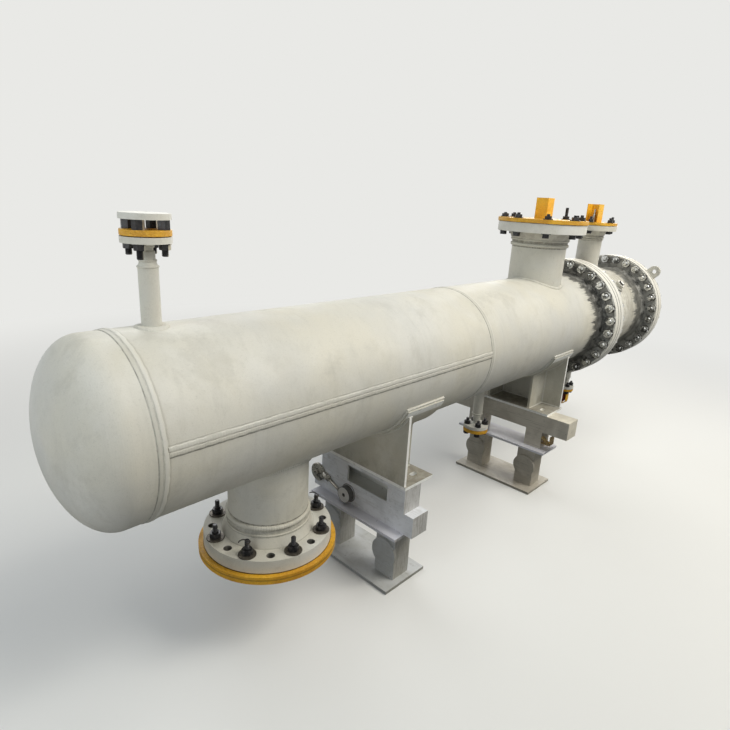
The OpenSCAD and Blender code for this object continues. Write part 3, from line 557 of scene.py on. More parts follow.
def make_stand_steel():
    """Old shop steelwork: thin pale paint rubbed through to mill steel; the rear stand is browner."""
    s = Shader("stand_steel")
    rear = s.beyond(1900, 1950)
    front = s.minus(1, rear)
    facing_near = s.span(s.mul(s.ny, -1), 0.7, 0.9)
    broad = s.noise(4.5, 5, 0.62, 0.5)
    mid = s.noise(24, 6, 0.7, 0.3)
    s.color = s.mix(s.span(broad, 0.36, 0.66), s.mix(rear, (200, 202, 202), (200, 194, 180)),
                    s.mix(rear, (184, 185, 181), (172, 165, 151)))
    silver = s.mix(s.span(broad, 0.4, 0.62), (240, 242, 246), (218, 220, 224))
    s.lay(silver, s.above(-764, -762), front, 0.8)
    streak = s.streaks(5, 0.7, 0.3, 30, 5, 110)
    s.lay((116, 110, 99), s.span(streak, 0.52, 0.72), s.blend(rear, 0.3, 0.55))
    s.lay((136, 133, 125), s.span(mid, 0.54, 0.74), 0.4)
    # shelves with a pale lavender coat, made paler still as painted light under the vessel; a painted
    # highlight makes the rear beam's top and near end cream
    shelf = s.mul(s.above(-763.5, -762), s.below(-747, -745.5))
    s.lay((226, 226, 234), shelf, 0.85)
    cream = s.mul(rear, s.above(-636, -634), s.highest(s.span(s.nz, 0.7, 0.9), facing_near))
    blotch = s.span(s.noise(9, 5, 0.7, 0.3), 0.3, 0.62, 0.95, 0.45)
    s.lay((232, 226, 208), cream, blotch)
    # brushed marks running up the near ends of the front stand
    brush = s.streaks(4, 0.7, 0.2, 150, 40, 14)
    s.lay((150, 143, 126), facing_near, front, 0.45)
    s.lay((112, 106, 92), facing_near, front, s.span(brush, 0.44, 0.66), 0.45)
    # inside the windowed box the steel is pale, partly for the white wrap in it and partly as painted light
    # in the shaded inside
    box_x = s.mul(s.beyond(1119, 1121), s.before(1224, 1226))
    box_z = s.mul(s.above(-638, -636), s.below(-524, -522))
    s.lay((226, 226, 220), box_x, box_z, s.window(s.y, -0.281, -0.279, 0.18, 0.182), 0.9)
    # the boss on the front beam: a lighter face, dark ring marks, and painted shadow as a dark outline round
    # it on the beam
    around = s.distance(s.minus(s.y, 0.08), s.minus(s.z, az(-695)))
    on_boss = s.mul(s.beyond(1122, 1120), front, s.fall(around, 0.044, 0.046))
    ring = s.highest(s.span(around, 0.0385, 0.04), s.window(around, 0.006, 0.007, 0.0095, 0.011))
    s.lay((196, 190, 178), on_boss, 0.5)
    s.lay((40, 38, 34), on_boss, ring, 0.85)
    outline = s.window(around, 0.042, 0.044, 0.0455, 0.05)
    s.lay((52, 49, 44), outline, s.beyond(1130, 1128), front, 0.8)
    # rust, scratches in two directions, splashes of paint and pits
    rust = s.span(s.noise(13, 7, 0.75, 0.8), 0.6, 0.74)
    s.lay((112, 90, 70), rust, s.blend(rear, 0.22, 0.45))
    across = s.streaks(3, 0.6, 0, 260, 12, 260)
    upright = s.streaks(3, 0.6, 0.6, 40, 300, 60)
    scratch = s.highest(s.span(across, 0.66, 0.74), s.span(upright, 0.69, 0.76))
    s.lay((206, 206, 202), scratch, 0.6)
    s.lay((220, 219, 210), s.span(s.noise(30, 6, 0.8, 1.2), 0.66, 0.72), 0.6)
    s.lay((60, 56, 50), s.span(s.noise(44, 3, 0.6, 0.3), 0.7, 0.74), 0.6)
    normal = s.bump(s.mul(scratch, -1), 0.0005, 0.5, s.bump(mid, 0.001, 0.5))
    return s.finish(s.span(mid, 0.3, 0.7, 0.4, 0.62), s.mul(scratch, 0.4), normal)


def make_red():
    s = Shader("valve_red")
    s.color = s.mix(s.span(s.noise(60, 4, 0.6), 0.35, 0.7), (122, 22, 20), (78, 12, 12))
    normal = s.bump(s.noise(240, 2, 0.5), 0.0002, 0.4)
    return s.finish(0.32, 0, normal, Coat_Weight=0.2)


def make_weld():
    """Painted weld bead with spatter."""
    s = Shader("weld_paint")
    paint_layers(s, (198, 197, 189))
    s.lay((128, 122, 107), s.span(s.noise(70, 4, 0.7), 0.56, 0.74), 0.24)
    return s.finish(0.55, 0, s.bump(s.noise(240, 4, 0.7), 0.0012, 0.6))


MATS = {
    "vessel_paint": make_vessel_paint(),
    "body_flange": make_body_flange(),
    "gasket": make_gasket(),
    "lug_steel": make_lug(),
    "nozzle_paint": make_nozzle_paint("nozzle_paint", (202, 202, 196)),
    "nozzle_flange_paint": make_nozzle_paint("nozzle_flange_paint", (222, 222, 217)),
    "yellow_cover": make_yellow("yellow_cover", (232, 176, 44), (204, 146, 30)),
    "yellow_guard": make_yellow("yellow_guard", (246, 192, 40), (230, 170, 30)),
    "valve_steel": make_steel("valve_steel", (196, 196, 190), (150, 150, 146), 0.3, 0.3),
    "valve_red": make_red(),
    "black_nut": make_black(),
    "saddle_paint": make_saddle_paint(),
    "stand_steel": make_stand_steel(),
}
WELD = make_weld()
ZINC = make_steel("zinc_steel", (244, 245, 243), (168, 169, 166), 0.16, 0.5, 0.88, 0.85)
RIG = make_steel("rig_steel", (226, 222, 210), (120, 114, 100), 0.3, 0.7, 0.7, 0.75)
BRASSY = make_steel("clip_steel", (222, 194, 140), (140, 106, 62), 0.26, 0.35, 0.75, 0.55)
WIRE = make_steel("tie_wire", (72, 68, 62), (44, 42, 38), 0.42, 0.4, 0.6)
SOOT = make_steel("washer_brown", (96, 90, 80), (64, 60, 54), 0.46, 0.3, 0.5)

slots = {entry["node"]: entry["material_slot"] for entry in frame["record"]["subparts"]}
for node, obj in NODES.items():
    paint = MATS[slots[node]]
    if not obj.data.materials:
        obj.data.materials.append(paint)
    for i in range(len(obj.data.materials)):
        obj.data.materials[i] = paint


# Mesh helpers
class Build:
    """Collects many small solids and makes one joined mesh of them."""

    def __init__(self):
        self.verts = []
        self.faces = []

    def add(self, part, place=Matrix()):
        verts, faces = part
        base = len(self.verts)
        for v in verts:
            self.verts.append(place @ Vector(v))
        for f in faces:
            self.faces.append([base + i for i in f])

    def make(self, name, slot, mat=None, crease=32):
        mesh = bpy.data.meshes.new(name)
        mesh.from_pydata(self.verts, [], self.faces)
        obj = new_object(name, mesh)
        bm = bmesh.new()
        bm.from_mesh(mesh)
        bmesh.ops.recalc_face_normals(bm, faces=bm.faces)
        limit = math.radians(crease)
        for e in bm.edges:
            e.smooth = len(e.link_faces) == 2 and e.calc_face_angle(0) < limit
        for f in bm.faces:
            f.smooth = True
        bm.to_mesh(mesh)
        bm.free()
        mesh.materials.append(mat or MATS[slot])
        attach(obj, "root")


ROUND_CREASE = 60


def turns(count):
    """The angles of count points round a circle."""
    return [2 * math.pi * i / count for i in range(count)]


def add_ring(verts, radius_at, z, count):
    """Adds a ring of points about z and returns their numbers."""
    ring = []
    for a in turns(count):
        r = radius_at(a)
        ring.append(len(verts))
        verts.append((r * math.cos(a), r * math.sin(a), z))
    return ring


def skin(rings):
    """Faces from ring to ring; a ring of one point makes a fan."""
    faces = []
    for a, b in zip(rings, rings[1:]):
        count = max(len(a), len(b))
        for i in range(count):
            j = (i + 1) % count
            if len(a) == 1:
                faces.append([a[0], b[j], b[i]])
            elif len(b) == 1:
                faces.append([a[i], a[j], b[0]])
            else:
                faces.append([a[i], a[j], b[j], b[i]])
    return faces


def swept(verts, count, closed):
    """A solid from rings of count points: joined end to end if closed, capped if not."""
    rings = [range(i, i + count) for i in range(0, len(verts), count)]
    if closed:
        return verts, skin(rings + rings[:1])
    return verts, skin(rings) + [rings[0][::-1], rings[-1]]


def lathe(profile, count):
    """Turns [(radius, z)...] about z; a radius of 0 makes a point on the axis."""
    verts, rings = [], []
    for r, z in profile:
        if r <= 1e-9:
            rings.append([len(verts)])
            verts.append((0, 0, z))
        else:
            rings.append(add_ring(verts, lambda a: r, z, count))
    return verts, skin(rings)


HEX_COUNT = 48
NO_CAP = 9


def hexagon(flats, cap):
    """The radius of a hexagon at each angle, by its size across flats and cut off at cap."""
    def radius_at(a):
        k = (a + math.pi / 6) % (math.pi / 3) - math.pi / 6
        return min(flats / 2 / math.cos(k), cap)
    return radius_at


def nut(flats, height, hole, chamfer):
    """Hexagon nut with both corners turned down and a bore; stands from z 0 to height."""
    corner = flats / math.sqrt(3)
    rim = corner * 0.95 * 0.965
    drop = corner * chamfer
    verts = []
    rings = [add_ring(verts, hexagon(flats, cap), z, HEX_COUNT)
             for z, cap in ((0, rim), (drop, NO_CAP), (height - drop, NO_CAP), (height, rim))]
    foot, top, thread_top = [add_ring(verts, lambda a: hole * share, z, HEX_COUNT)
                             for share, z in ((1, 0), (1.06, height), (0.97, height - 0.0012))]
    return verts, skin([foot] + rings + [top, thread_top])


def hex_head(flats, height):
    corner = flats / math.sqrt(3)
    verts = []
    for z, cap in ((0, NO_CAP), (height - corner * 0.09, NO_CAP), (height, corner * 0.92)):
        add_ring(verts, hexagon(flats, cap), z, HEX_COUNT)
    return swept(verts, HEX_COUNT, False)


def thread(radius, z0, z1, pitch):
    """Stud end with thread rings and a chamfered tip; z0 is the buried end, z1 the free end."""
    tip = 0.0015
    length = z1 - z0
    profile = [(0, z0), (radius * 0.96, z0)]
    z = 0
    while z + pitch < length - tip:
        for share, rise in ((0.9, 0.15), (1, 0.55), (1, 0.7)):
            profile.append((radius * share, z0 + z + pitch * rise))
        z += pitch
    profile += [(radius * 0.95, z0 + length - tip), (radius * 0.8, z1), (0, z1)]
    return lathe(profile, 28)


def washer(radius, hole, height):
    return lathe([(hole, 0), (radius * 0.985, 0), (radius, height * 0.25), (radius, height * 0.75),
                  (radius * 0.985, height), (hole, height), (hole, 0)], 40)


def shank(radius, z0, z1):
    return lathe([(0, z0), (radius, z0), (radius, z1), (0, z1)], 20)


def ripple(step, depth, seed):
    """A factor near 1 that rises and falls from point to point along a bead."""
    r = random.Random(seed)
    phase = r.uniform(0, 6)
    amps = [r.uniform(-0.5, 0.5) for _ in range(64)]

    def factor(i):
        return 1 + depth * math.sin(phase + i * step) + 0.1 * amps[i % 64]
    return factor


def tangent(pts, i, closed):
    n = len(pts)
    if closed:
        return (pts[(i + 1) % n] - pts[i - 1]).normalized()
    return (pts[min(i + 1, n - 1)] - pts[max(i - 1, 0)]).normalized()


def tube(points, radius, count=8, closed=False, wobble=None):
    """A round bead or wire along points. wobble(i) scales the radius at point i."""
    pts = [Vector(p) for p in points]
    verts = []
    last_side = None
    for i, p in enumerate(pts):
        t = tangent(pts, i, closed)
        if last_side is None:
            ref = Vector((0, 0, 1)) if abs(t.z) < 0.9 else Vector((1, 0, 0))
            side = t.cross(ref).normalized()
        else:
            side = (last_side - t * last_side.dot(t)).normalized()
        last_side = side
        up = t.cross(side)
        r = radius * (wobble(i) if wobble else 1)
        for a in turns(count):
            verts.append(p + side * (r * math.cos(a)) + up * (r * math.sin(a)))
    return swept(verts, count, closed)


def bead(path, outs, half, height, seed, closed, wander, crown=2.2):
    """A weld bead lying on a surface: its path, the surface normal at each point, half its width and its
    height. The edges are sunk a little, the centre wanders and the top is rippled."""
    ripple_pitch, sunk, steps = 0.0045, 0.001, 8
    r = random.Random(seed)
    pts = [Vector(q) for q in path]
    waves = [(r.randint(3, 60), r.uniform(0, 6.28), r.uniform(0.3, 1)) for _ in range(7)]
    swell = [(r.randint(3, 90), r.uniform(0, 6.28), r.uniform(0.3, 1)) for _ in range(7)]
    verts = []
    gone = 0
    for i, k in enumerate(turns(len(path))):
        up = Vector(outs[i]).normalized()
        side = tangent(pts, i, closed).cross(up).normalized()
        off = wander * sum(w * math.sin(f * k + ph) for f, ph, w in waves) / 2
        wide = 1 + 0.035 * sum(w * math.sin(f * k + ph) for f, ph, w in swell)
        gone += (pts[i] - pts[i - 1]).length if i else 0
        tall = height * (1 + 0.07 * math.sin(2 * math.pi * gone / ripple_pitch) + 0.05 * r.uniform(-1, 1))
        for j in range(steps + 1):
            u = -1 + 2 * j / steps
            h = tall * max(0, 1 - abs(u) ** crown) ** 0.6 - (sunk if j in (0, steps) else 0)
            verts.append(pts[i] + side * (half * wide * u + off) + up * h)
    return swept(verts, steps + 1, closed)


def round_axis(x, radius, a):
    """A point at this radius from the centreline, at an angle from the top."""
    return (sx(x), radius * math.sin(a), AXIS + radius * math.cos(a))


def ring_bead(x, half, height, seed, crown):
    angles = turns(720)
    path = [round_axis(x, SHELL_R, a) for a in angles]
    outs = [(0, math.sin(a), math.cos(a)) for a in angles]
    return bead(path, outs, half, height, seed, True, 0.0012, crown)


def rod(start, end, radius, seed):
    """A straight fillet bead between two points."""
    start, end = Vector(start), Vector(end)
    n = max(2, int((end - start).length / 0.006))
    points = [start + (end - start) * (i / n) for i in range(n + 1)]
    return tube(points, radius, 8, False, ripple(1.6, 0.08, seed))


def box(x0, x1, y0, y1, z0, z1):
    v = [(x, y, z) for x in (x0, x1) for y in (y0, y1) for z in (z0, z1)]
    return v, [[0, 1, 3, 2], [4, 6, 7, 5], [0, 4, 5, 1], [2, 3, 7, 6], [0, 2, 6, 4], [1, 5, 7, 3]]


def at(x, y, z):
    return Matrix.Translation((x, y, z))


def spin(deg):
    return Matrix.Rotation(math.radians(deg), 4, "Z")


def any_turn():
    """A nut or head is left at any angle up to one flat."""
    return spin(rng.uniform(0, 60))


Z_TO_X = Matrix.Rotation(math.radians(90), 4, "Y")
Z_TO_MINUS_X = Matrix.Rotation(math.radians(-90), 4, "Y")
FLIP = Matrix.Rotation(math.pi, 4, "X")


# Body flange studs
def girth_studs(name, washers, x0, x1):
    stud_r, nut_h, nut_flats = 0.014, 0.0285, 0.05
    b, rings = Build(), Build()
    for i in range(GIRTH_STUDS):
        a = math.radians((i + 0.5) * 360 / GIRTH_STUDS)
        y, z = -GIRTH_CIRCLE_R * math.sin(a), AXIS + GIRTH_CIRCLE_R * math.cos(a)
        for end, turned in ((x0, Z_TO_MINUS_X), (x1, Z_TO_X)):
            base = at(sx(end), y, z) @ turned
            nut_turn = any_turn()
            rings.add(washer(0.0285, stud_r * 1.02, 0.0016), base)
            b.add(nut(nut_flats, nut_h, stud_r, 0.04), base @ at(0, 0, 0.0014) @ nut_turn)
            out = 0.016 + rng.uniform(-0.004, 0.006)
            b.add(thread(stud_r, nut_h - 0.004, nut_h + out, 0.003), base)
        b.add(shank(stud_r * 0.93, -0.001, (x1 - x0) / 1000 + 0.001), at(sx(x0), y, z) @ Z_TO_X)
    rings.make(washers, "valve_steel", SOOT)
    b.make(name, "valve_steel", ZINC)


girth_studs("tubesheet_studs", "tubesheet_washers", *FIRST_STUDS)
girth_studs("cover_studs", "cover_washers", *SECOND_STUDS)


# Nozzle bolts
def bolt(b, place, out, grip, flats, nut_h, shank_r, washer_r, washer_t, head_h, head_washer=True):
    """Nut end at the place's origin, pointing along its z; the head is at -grip and as wide as the nut."""
    b.add(washer(washer_r, shank_r * 1.05, washer_t), place)
    b.add(nut(flats, nut_h, shank_r, 0.1), place @ at(0, 0, washer_t) @ any_turn())
    z = washer_t + nut_h
    b.add(thread(shank_r, z - 0.004, z + out, 0.0025), place)
    b.add(shank(shank_r, -grip, 0.002), place)
    head = place @ at(0, 0, -grip) @ FLIP
    if head_washer:
        b.add(washer(flats * 0.78, shank_r * 1.05, 0.004), head)
        head = head @ at(0, 0, 0.004)
    b.add(hex_head(flats, head_h), head @ any_turn())


def on_circle(pcd, n, step=1, flip=1, first=0):
    """Every step-th hole of a bolt circle, half a pitch off the x axis."""
    out = []
    for i in range(first, n, step):
        a = math.radians((i + 0.5) * 360 / n)
        out.append((pcd / 2000 * math.cos(a), flip * pcd / 2000 * math.sin(a)))
    return out


b, plates = Build(), Build()
lower_holes = on_circle(LARGE_PCD, LARGE_HOLES, 2, -1)
lower_back = az(LARGE_T - LOWER_FACE)
for px, py in lower_holes:
    here = at(sx(LOWER_X) + px, py, lower_back)
    out = 0.028 + rng.uniform(-0.004, 0.004)
    plates.add(washer(0.0345, 0.011, 0.0055), here)
    b.add(nut(0.039, 0.0205, 0.01, 0.06), here @ at(0, 0, 0.0055) @ any_turn())
    b.add(lathe([(0, 0.025), (0.0126, 0.025), (0.013, 0.026), (0.013, 0.0325), (0.0118, 0.034),
                 (0, 0.034)], 28), here)
    b.add(thread(0.0094, 0.033, 0.0345 + out, 0.0025), here)
    b.add(shank(0.01, -0.086, 0.006), here)
    head = here @ at(0, 0, -0.086) @ FLIP
    b.add(washer(0.0285, 0.0105, 0.004), head)
    b.add(hex_head(0.034, 0.013), head @ at(0, 0, 0.004) @ any_turn())
b.make("lower_nozzle_bolts", "black_nut")
plates.make("lower_nozzle_washers", "black_nut", SOOT)

# dark tie wire twisted round the ends of some of them
WIRED, WIRE_POINTS, WIRE_TURN, TAIL_FROM = (0, 3, 6, 7), 30, 5.2, 0.72
b = Build()
for i in WIRED:
    px, py = lower_holes[i]
    start = rng.uniform(2.4, 4)
    base = Vector((sx(LOWER_X) + px, py, lower_back + 0.054))
    pts = []
    for k in range(WIRE_POINTS):
        t = k / (WIRE_POINTS - 1)
        a = start + t * WIRE_TURN
        tail = max(0, t - TAIL_FROM)
        r = 0.0112 + tail * 0.075
        pts.append(base + Vector((r * math.cos(a), r * math.sin(a), 0.004 * t + 0.012 * tail)))
    b.add(tube(pts, 0.0024, 6))
b.make("tie_wire", "black_nut", WIRE)

# one stud of the upper nozzle stands tall
b = Build()
TALL = 7
for i, (px, py) in enumerate(on_circle(LARGE_PCD, LARGE_HOLES, 2, 1, 1)):
    out = 0.052 if i == TALL else 0.009 + rng.uniform(-0.004, 0.006)
    place = at(sx(UPPER_X) + px, py, az(UPPER_FACE + 22))
    bolt(b, place, out, grip=0.078, flats=0.036, nut_h=0.016, shank_r=0.01, washer_r=0.0285, washer_t=0.005,
         head_h=0.022)
b.make("upper_nozzle_bolts", "black_nut")

b = Build()
for px, py in on_circle(CHANNEL_PCD, CHANNEL_HOLES, 2):
    out = 0.016 + rng.uniform(-0.004, 0.006)
    place = at(sx(CHANNEL_X) + px, py, az(CHANNEL_FACE + 18))
    bolt(b, place, out, grip=0.055, flats=0.03, nut_h=0.016, shank_r=0.009, washer_r=0.022, washer_t=0.004,
         head_h=0.016)
b.make("channel_nozzle_bolts", "black_nut")

# vent studs: through the flange, the yellow ring, the four nuts and into the blind flange
b = Build()
for px, py in on_circle(SMALL_PCD, SMALL_HOLES):
    top = at(sx(VENT_X) + px, py, az(VENT_FACE - SMALL_T))
    b.add(shank(0.0098, -0.002, 0.069), top)
    low = top @ FLIP
    b.add(washer(0.0195, 0.0105, 0.003), low)
    b.add(nut(0.03, 0.016, 0.01, 0.1), low @ at(0, 0, 0.003) @ any_turn())
    b.add(thread(0.01, 0.015, 0.041 + rng.uniform(-0.004, 0.006), 0.0025), low)
b.make("vent_studs", "black_nut")


def drain_bolts(name, x, face, cover, pcd, flats):
    b = Build()
    for px, py in on_circle(pcd, SMALL_HOLES, 1, -1):
        out = 0.013 + rng.uniform(-0.003, 0.005)
        place = at(sx(x) + px, py, az(SMALL_T - face))
        bolt(b, place, out, grip=(SMALL_T + cover) / 1000, flats=flats, nut_h=0.018, shank_r=flats * 0.29,
             washer_r=flats * 0.62, washer_t=0.003, head_h=0.022, head_washer=False)
    b.make(name, "black_nut")


drain_bolts("shell_drain_bolts", DRAIN_X, DRAIN_FACE, 20, SMALL_PCD, 0.032)
drain_bolts("channel_drain_bolts", CHANNEL_X, CHANNEL_DRAIN_FACE, 14, CHANNEL_DRAIN_PCD, 0.028)


# Welds
b = Build()
for start, tall in ((0, 0.0038), (COURSE_SEAM_X, 0.0034)):
    b.add(ring_bead(start + 3.2, 0.0082, 0.0018, 21 + start, 4))
    b.add(ring_bead(start + 18, 0.0092, tall, 22 + start, 3))
SEAM_STEPS = 560
for k, (shift, tall) in enumerate(((0.0082, 0.0031), (-0.0082, 0.0037))):
    a = math.radians(85.5) - shift / SHELL_R
    out = (0, -math.sin(a), math.cos(a))
    path = [round_axis(26 + 1662 * i / SEAM_STEPS, SHELL_R, -a) for i in range(SEAM_STEPS + 1)]
    b.add(bead(path, [out] * len(path), 0.0086, tall, 23 + k, False, 0.001, 4))
b.make("shell_seams", "vessel_paint", None, ROUND_CREASE)


def saddle_curve(x, radius, up, count):
    """The curve where a pipe of this radius meets the shell."""
    pts = []
    for a in turns(count):
        y = radius * math.sin(a)
        pts.append((sx(x) + radius * math.cos(a), y, AXIS + up * math.sqrt(max(SHELL_R ** 2 - y * y, 0))))
    return pts


b = Build()
for x, radius, up, bead_r, count in ((LOWER_X, 0.162, -1, 0.0085, 560), (UPPER_X, 0.162, 1, 0.0085, 560),
                                     (CHANNEL_X, 0.0795, 1, 0.007, 320), (VENT_X, 0.0302, 1, 0.0065, 150),
                                     (DRAIN_X, 0.0302, -1, 0.0065, 150),
                                     (CHANNEL_X, 0.0302, -1, 0.0065, 150)):
    b.add(tube(saddle_curve(x, radius + bead_r * 0.35, up, count), bead_r, 10, True, ripple(1.7, 0.1, x)))
# a weld round the foot of the coupling on the channel barrel
FOOT_R, FOOT_LEVEL, FOOT_POINTS = 0.0345, 0.3065, 160
foot = []
for t in turns(FOOT_POINTS):
    a = math.radians(45) + FOOT_R * math.sin(t) / SHELL_R
    x, y, z = round_axis(COUPLING_X, FOOT_LEVEL, -a)
    foot.append((x + FOOT_R * math.cos(t), y, z))
b.add(tube(foot, 0.0068, 10, True, ripple(1.7, 0.1, 5)))
# the vent stands in a wide low ring of weld
path = saddle_curve(VENT_X, 0.04, 1, 200)
outs = [(0, q[1], q[2] - AXIS) for q in path]
b.add(bead(path, outs, 0.0135, 0.006, 31, True, 0.0012))
b.make("nozzle_welds", "nozzle_paint", WELD, ROUND_CREASE)

# the butt welds between pipe and hub, as raised bands with grooves between them
LARGE_RINGS = ((-7, 0.1625, 0.01, 420, -7), (22, 0.17, 0.004, 420, 22))
CHANNEL_RINGS = ((-12, 0.08, 0.0052, 260, -12), (3, 0.0815, 0.0068, 260, 3))
SMALL_RINGS = ((1, 0.0182, 0.0036, 90, 0), (-15, 0.019, 0.004, 90, 1), (-40, 0.0234, 0.0036, 90, 3),
               (-58, 0.03, 0.003, 110, 2))
b = Build()
for x, up, face, neck, rough, rings in ((LOWER_X, -1, LOWER_FACE, LARGE_T + 68, 0.07, LARGE_RINGS),
                                        (UPPER_X, 1, UPPER_FACE, LARGE_T + 68, 0.13, LARGE_RINGS),
                                        (CHANNEL_X, 1, CHANNEL_FACE, CHANNEL_T + 50, 0.07, CHANNEL_RINGS),
                                        (VENT_X, 1, VENT_FACE, SMALL_T + 12, 0.07, SMALL_RINGS),
                                        (DRAIN_X, -1, DRAIN_FACE, SMALL_T + 12, 0.07, SMALL_RINGS),
                                        (CHANNEL_X, -1, CHANNEL_DRAIN_FACE, SMALL_T + 12, 0.07, SMALL_RINGS)):
    for dz, radius, bead_r, count, seed in rings:
        height = az(up * (face - neck + dz))
        pts = [(sx(x) + radius * math.cos(a), radius * math.sin(a), height) for a in turns(count)]
        b.add(tube(pts, bead_r, 10, True, ripple(1.6, rough, x + seed)))
b.make("hub_welds", "nozzle_paint", WELD, ROUND_CREASE)


def arc_below(half_deg, count):
    """Angles of an arc that hangs half_deg to each side of the bottom."""
    return [math.radians(180 - half_deg + 2 * half_deg * i / count) for i in range(count + 1)]


# Saddles: fillets round the wear pads and where web, ribs and base meet
PAD_EDGE_R, PAD_FACE_R, PAD_INNER_R, FILLET = 0.3085, 0.3232, 0.321, 0.0046
PAD_HALF, PAD_DEG, WEB_BACK, WEB_T, RIB_LENGTH, RIB_Y, RIB_HALF = 130, 65.7, 86, 16, 171, 145, 9
WEB_HALF, BASE_TOP = 0.276, az(-505)
b = Build()
for x0, side in SADDLES:
    for e in (-1, 1):
        edge = [round_axis(x0 + e * (PAD_HALF - 1), PAD_EDGE_R, a) for a in arc_below(65, 240)]
        b.add(tube(edge, 0.006, 8, False, ripple(1.6, 0.1, x0 + e)))
        a = math.radians(180 + e * PAD_DEG)
        ends = [round_axis(x, PAD_EDGE_R, a) for x in (x0 - PAD_HALF, x0 + PAD_HALF)]
        b.add(rod(*ends, 0.0064, x0 + 2 * e))
    web = x0 - side * WEB_BACK
    inside = web + side * 2
    for face_x in (web - side * WEB_T, inside):
        arc = [round_axis(face_x, PAD_FACE_R, a) for a in arc_below(59, 220)]
        b.add(tube(arc, FILLET, 8, False, ripple(1.6, 0.1, face_x)))
    b.add(rod((sx(inside), -WEB_HALF, BASE_TOP), (sx(inside), WEB_HALF, BASE_TOP), FILLET, x0 + 7))
    out_x = sx(web + side * RIB_LENGTH)
    for rib in (-RIB_Y, RIB_Y):
        for f in (-1, 1):
            y = (rib + f * RIB_HALF) / 1000
            top = AXIS - math.sqrt(PAD_INNER_R ** 2 - y * y)
            b.add(rod((sx(web), y, BASE_TOP), (out_x, y, BASE_TOP), FILLET, x0 + rib + f))
            b.add(rod((sx(inside), y, BASE_TOP), (sx(inside), y, top), FILLET, x0 + rib - f))
            b.add(rod((sx(web), y, top - 0.002), (out_x, y, top - 0.002), FILLET, x0 + rib + 3 * f))
b.make("saddle_welds", "saddle_paint", WELD, ROUND_CREASE)

# Stand fittings: a tie rod with its nut and eye along the front stand's cross beam
b = Build()
lean = Vector((0, 97, 38)).normalized().to_track_quat("Z", "Y").to_matrix().to_4x4()
lay = at(sx(1115), 0.118, az(-712)) @ lean
b.add(thread(0.0075, -0.012, 0.128, 0.003), lay)
b.add(nut(0.03, 0.022, 0.0075, 0.1), lay @ at(0, 0, 0.104) @ spin(12))
b.add(lathe([(0, 0.124), (0.014, 0.124), (0.017, 0.128), (0.017, 0.146), (0.013, 0.15), (0, 0.15)], 28), lay)
eye = at(sx(1107), 0.3, az(-664)) @ Z_TO_X
b.add(lathe([(0.015, 0), (0.046, 0), (0.048, 0.002), (0.048, 0.014), (0.046, 0.016), (0.015, 0.016),
             (0.015, 0)], 48), eye)
b.add(box(sx(1108), sx(1122), 0.245, 0.268, az(-672), az(-646)))
b.add(lathe([(0, -0.012), (0.011, -0.012), (0.013, -0.009), (0.013, 0.018), (0, 0.018)], 24), eye)
b.make("stand_tie_rod", "stand_steel", RIG)

# bent clip beside the near block of the rear stand
b = Build()
b.add(box(sx(2490), sx(2548), -0.322, -0.27, az(-708), az(-703)))
b.add(box(sx(2490), sx(2548), -0.327, -0.322, az(-708), az(-648)))
tilt = at(sx(2488), -0.298, az(-678)) @ Matrix.Rotation(math.radians(38), 4, "X")
b.add(box(-0.003, 0.003, -0.03, 0.03, -0.012, 0.012), tilt)
b.make("stand_clip", "stand_steel", BRASSY)


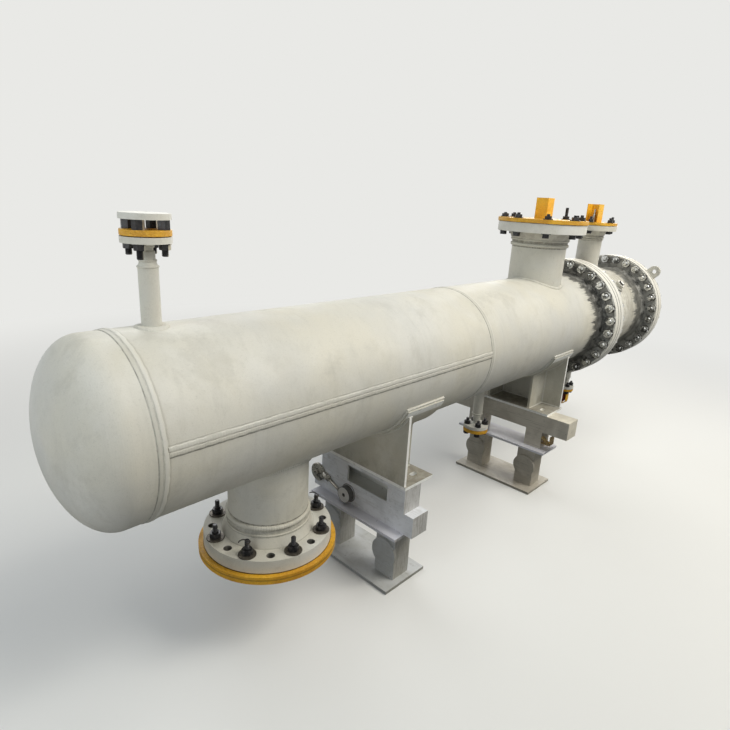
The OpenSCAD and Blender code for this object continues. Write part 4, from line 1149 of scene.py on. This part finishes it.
# Stage: floor, world and lamps
def stage_floor():
    """A pale floor that keeps the shadow near the object and fades to the background's colour."""
    count, radius, drop = 96, 60, -0.0005
    fade_from, fade_to = 1.6, 6.5
    mesh = bpy.data.meshes.new("floor")
    verts = [(0, 0, drop)]
    add_ring(verts, lambda a: radius, drop, count)
    mesh.from_pydata(verts, [], [[0, 1 + i, 1 + (i + 1) % count] for i in range(count)])
    obj = new_object("floor", mesh)
    s = Shader("floor")
    from_camera = s.new("ShaderNodeLightPath").outputs["Is Camera Ray"]
    s.fill(s.bsdf, Base_Color=s.mix(from_camera, (78, 80, 78), (228, 228, 225)), Roughness=0.8)
    far = s.new("ShaderNodeEmission", Color=BACK, Strength=1)
    length = s.new("ShaderNodeVectorMath")
    length.operation = "LENGTH"
    s.put(length.inputs[0], s.co)
    mix = s.new("ShaderNodeMixShader")
    s.put(mix.inputs[0], s.span(length.outputs["Value"], fade_from, fade_to))
    s.put(mix.inputs[1], s.bsdf.outputs["BSDF"])
    s.put(mix.inputs[2], far.outputs[0])
    s.put(s.surface, mix.outputs[0])
    mesh.materials.append(s.mat)


def stage_world():
    """A faint even light, seen as the background's colour by camera, glossy and transmitted rays."""
    world = bpy.data.worlds.new("world")
    bpy.context.scene.world = world
    tree = Tree(world)
    mix = tree.new("ShaderNodeMixShader")
    for slot, color, strength in ((1, (0.97, 0.985, 1), 0.09), (2, lin(BACK), 1)):
        shade = tree.new("ShaderNodeBackground", Strength=strength)
        shade.inputs["Color"].default_value = (*color, 1)
        tree.put(mix.inputs[slot], shade.outputs[0])
    rays = tree.new("ShaderNodeLightPath").outputs
    seen = rays["Is Camera Ray"]
    for name in ("Is Glossy Ray", "Is Transmission Ray"):
        seen = tree.math("MAXIMUM", seen, rays[name])
    tree.put(mix.inputs[0], seen)
    tree.put(tree.new("ShaderNodeOutputWorld").inputs["Surface"], mix.outputs[0])


def area(name, place, target, size, power, color):
    data = bpy.data.lights.new(name, "AREA")
    data.shape = "RECTANGLE"
    data.size, data.size_y = size
    data.energy = power
    data.color = color
    obj = new_object(name, data)
    way = Vector(target) - Vector(place)
    obj.rotation_euler = way.to_track_quat("-Z", "Y").to_euler()
    obj.location = place


stage_floor()
stage_world()
area("overhead", (0.7, -1.3, 5.2), (0.4, 0, 1), (5, 3), 88, (1, 0.99, 0.96))
area("front", (1.6, -3.9, 5.9), (0.7, 0, 1.1), (3.4, 2.4), 240, (1, 0.975, 0.91))
area("right_front", (3.4, -3.4, 4), (1.3, 0, 1.1), (1.4, 1), 44, (1, 0.94, 0.83))
area("left", (-4.9, 0.2, 4.2), (-1.2, 0, 1.1), (2.4, 2), 66, (0.82, 0.92, 1))
area("left_low", (-5, -1.6, 1.5), (-0.8, 0, 0.6), (2.2, 1.2), 22, (0.9, 0.95, 1))
area("right", (5.2, 1.8, 3), (1.9, 0, 1), (2.4, 2), 62, (1, 0.99, 0.97))
area("far_side", (1, 5, 4.2), (0.2, 0, 1), (4, 2), 100, (0.97, 0.985, 1))
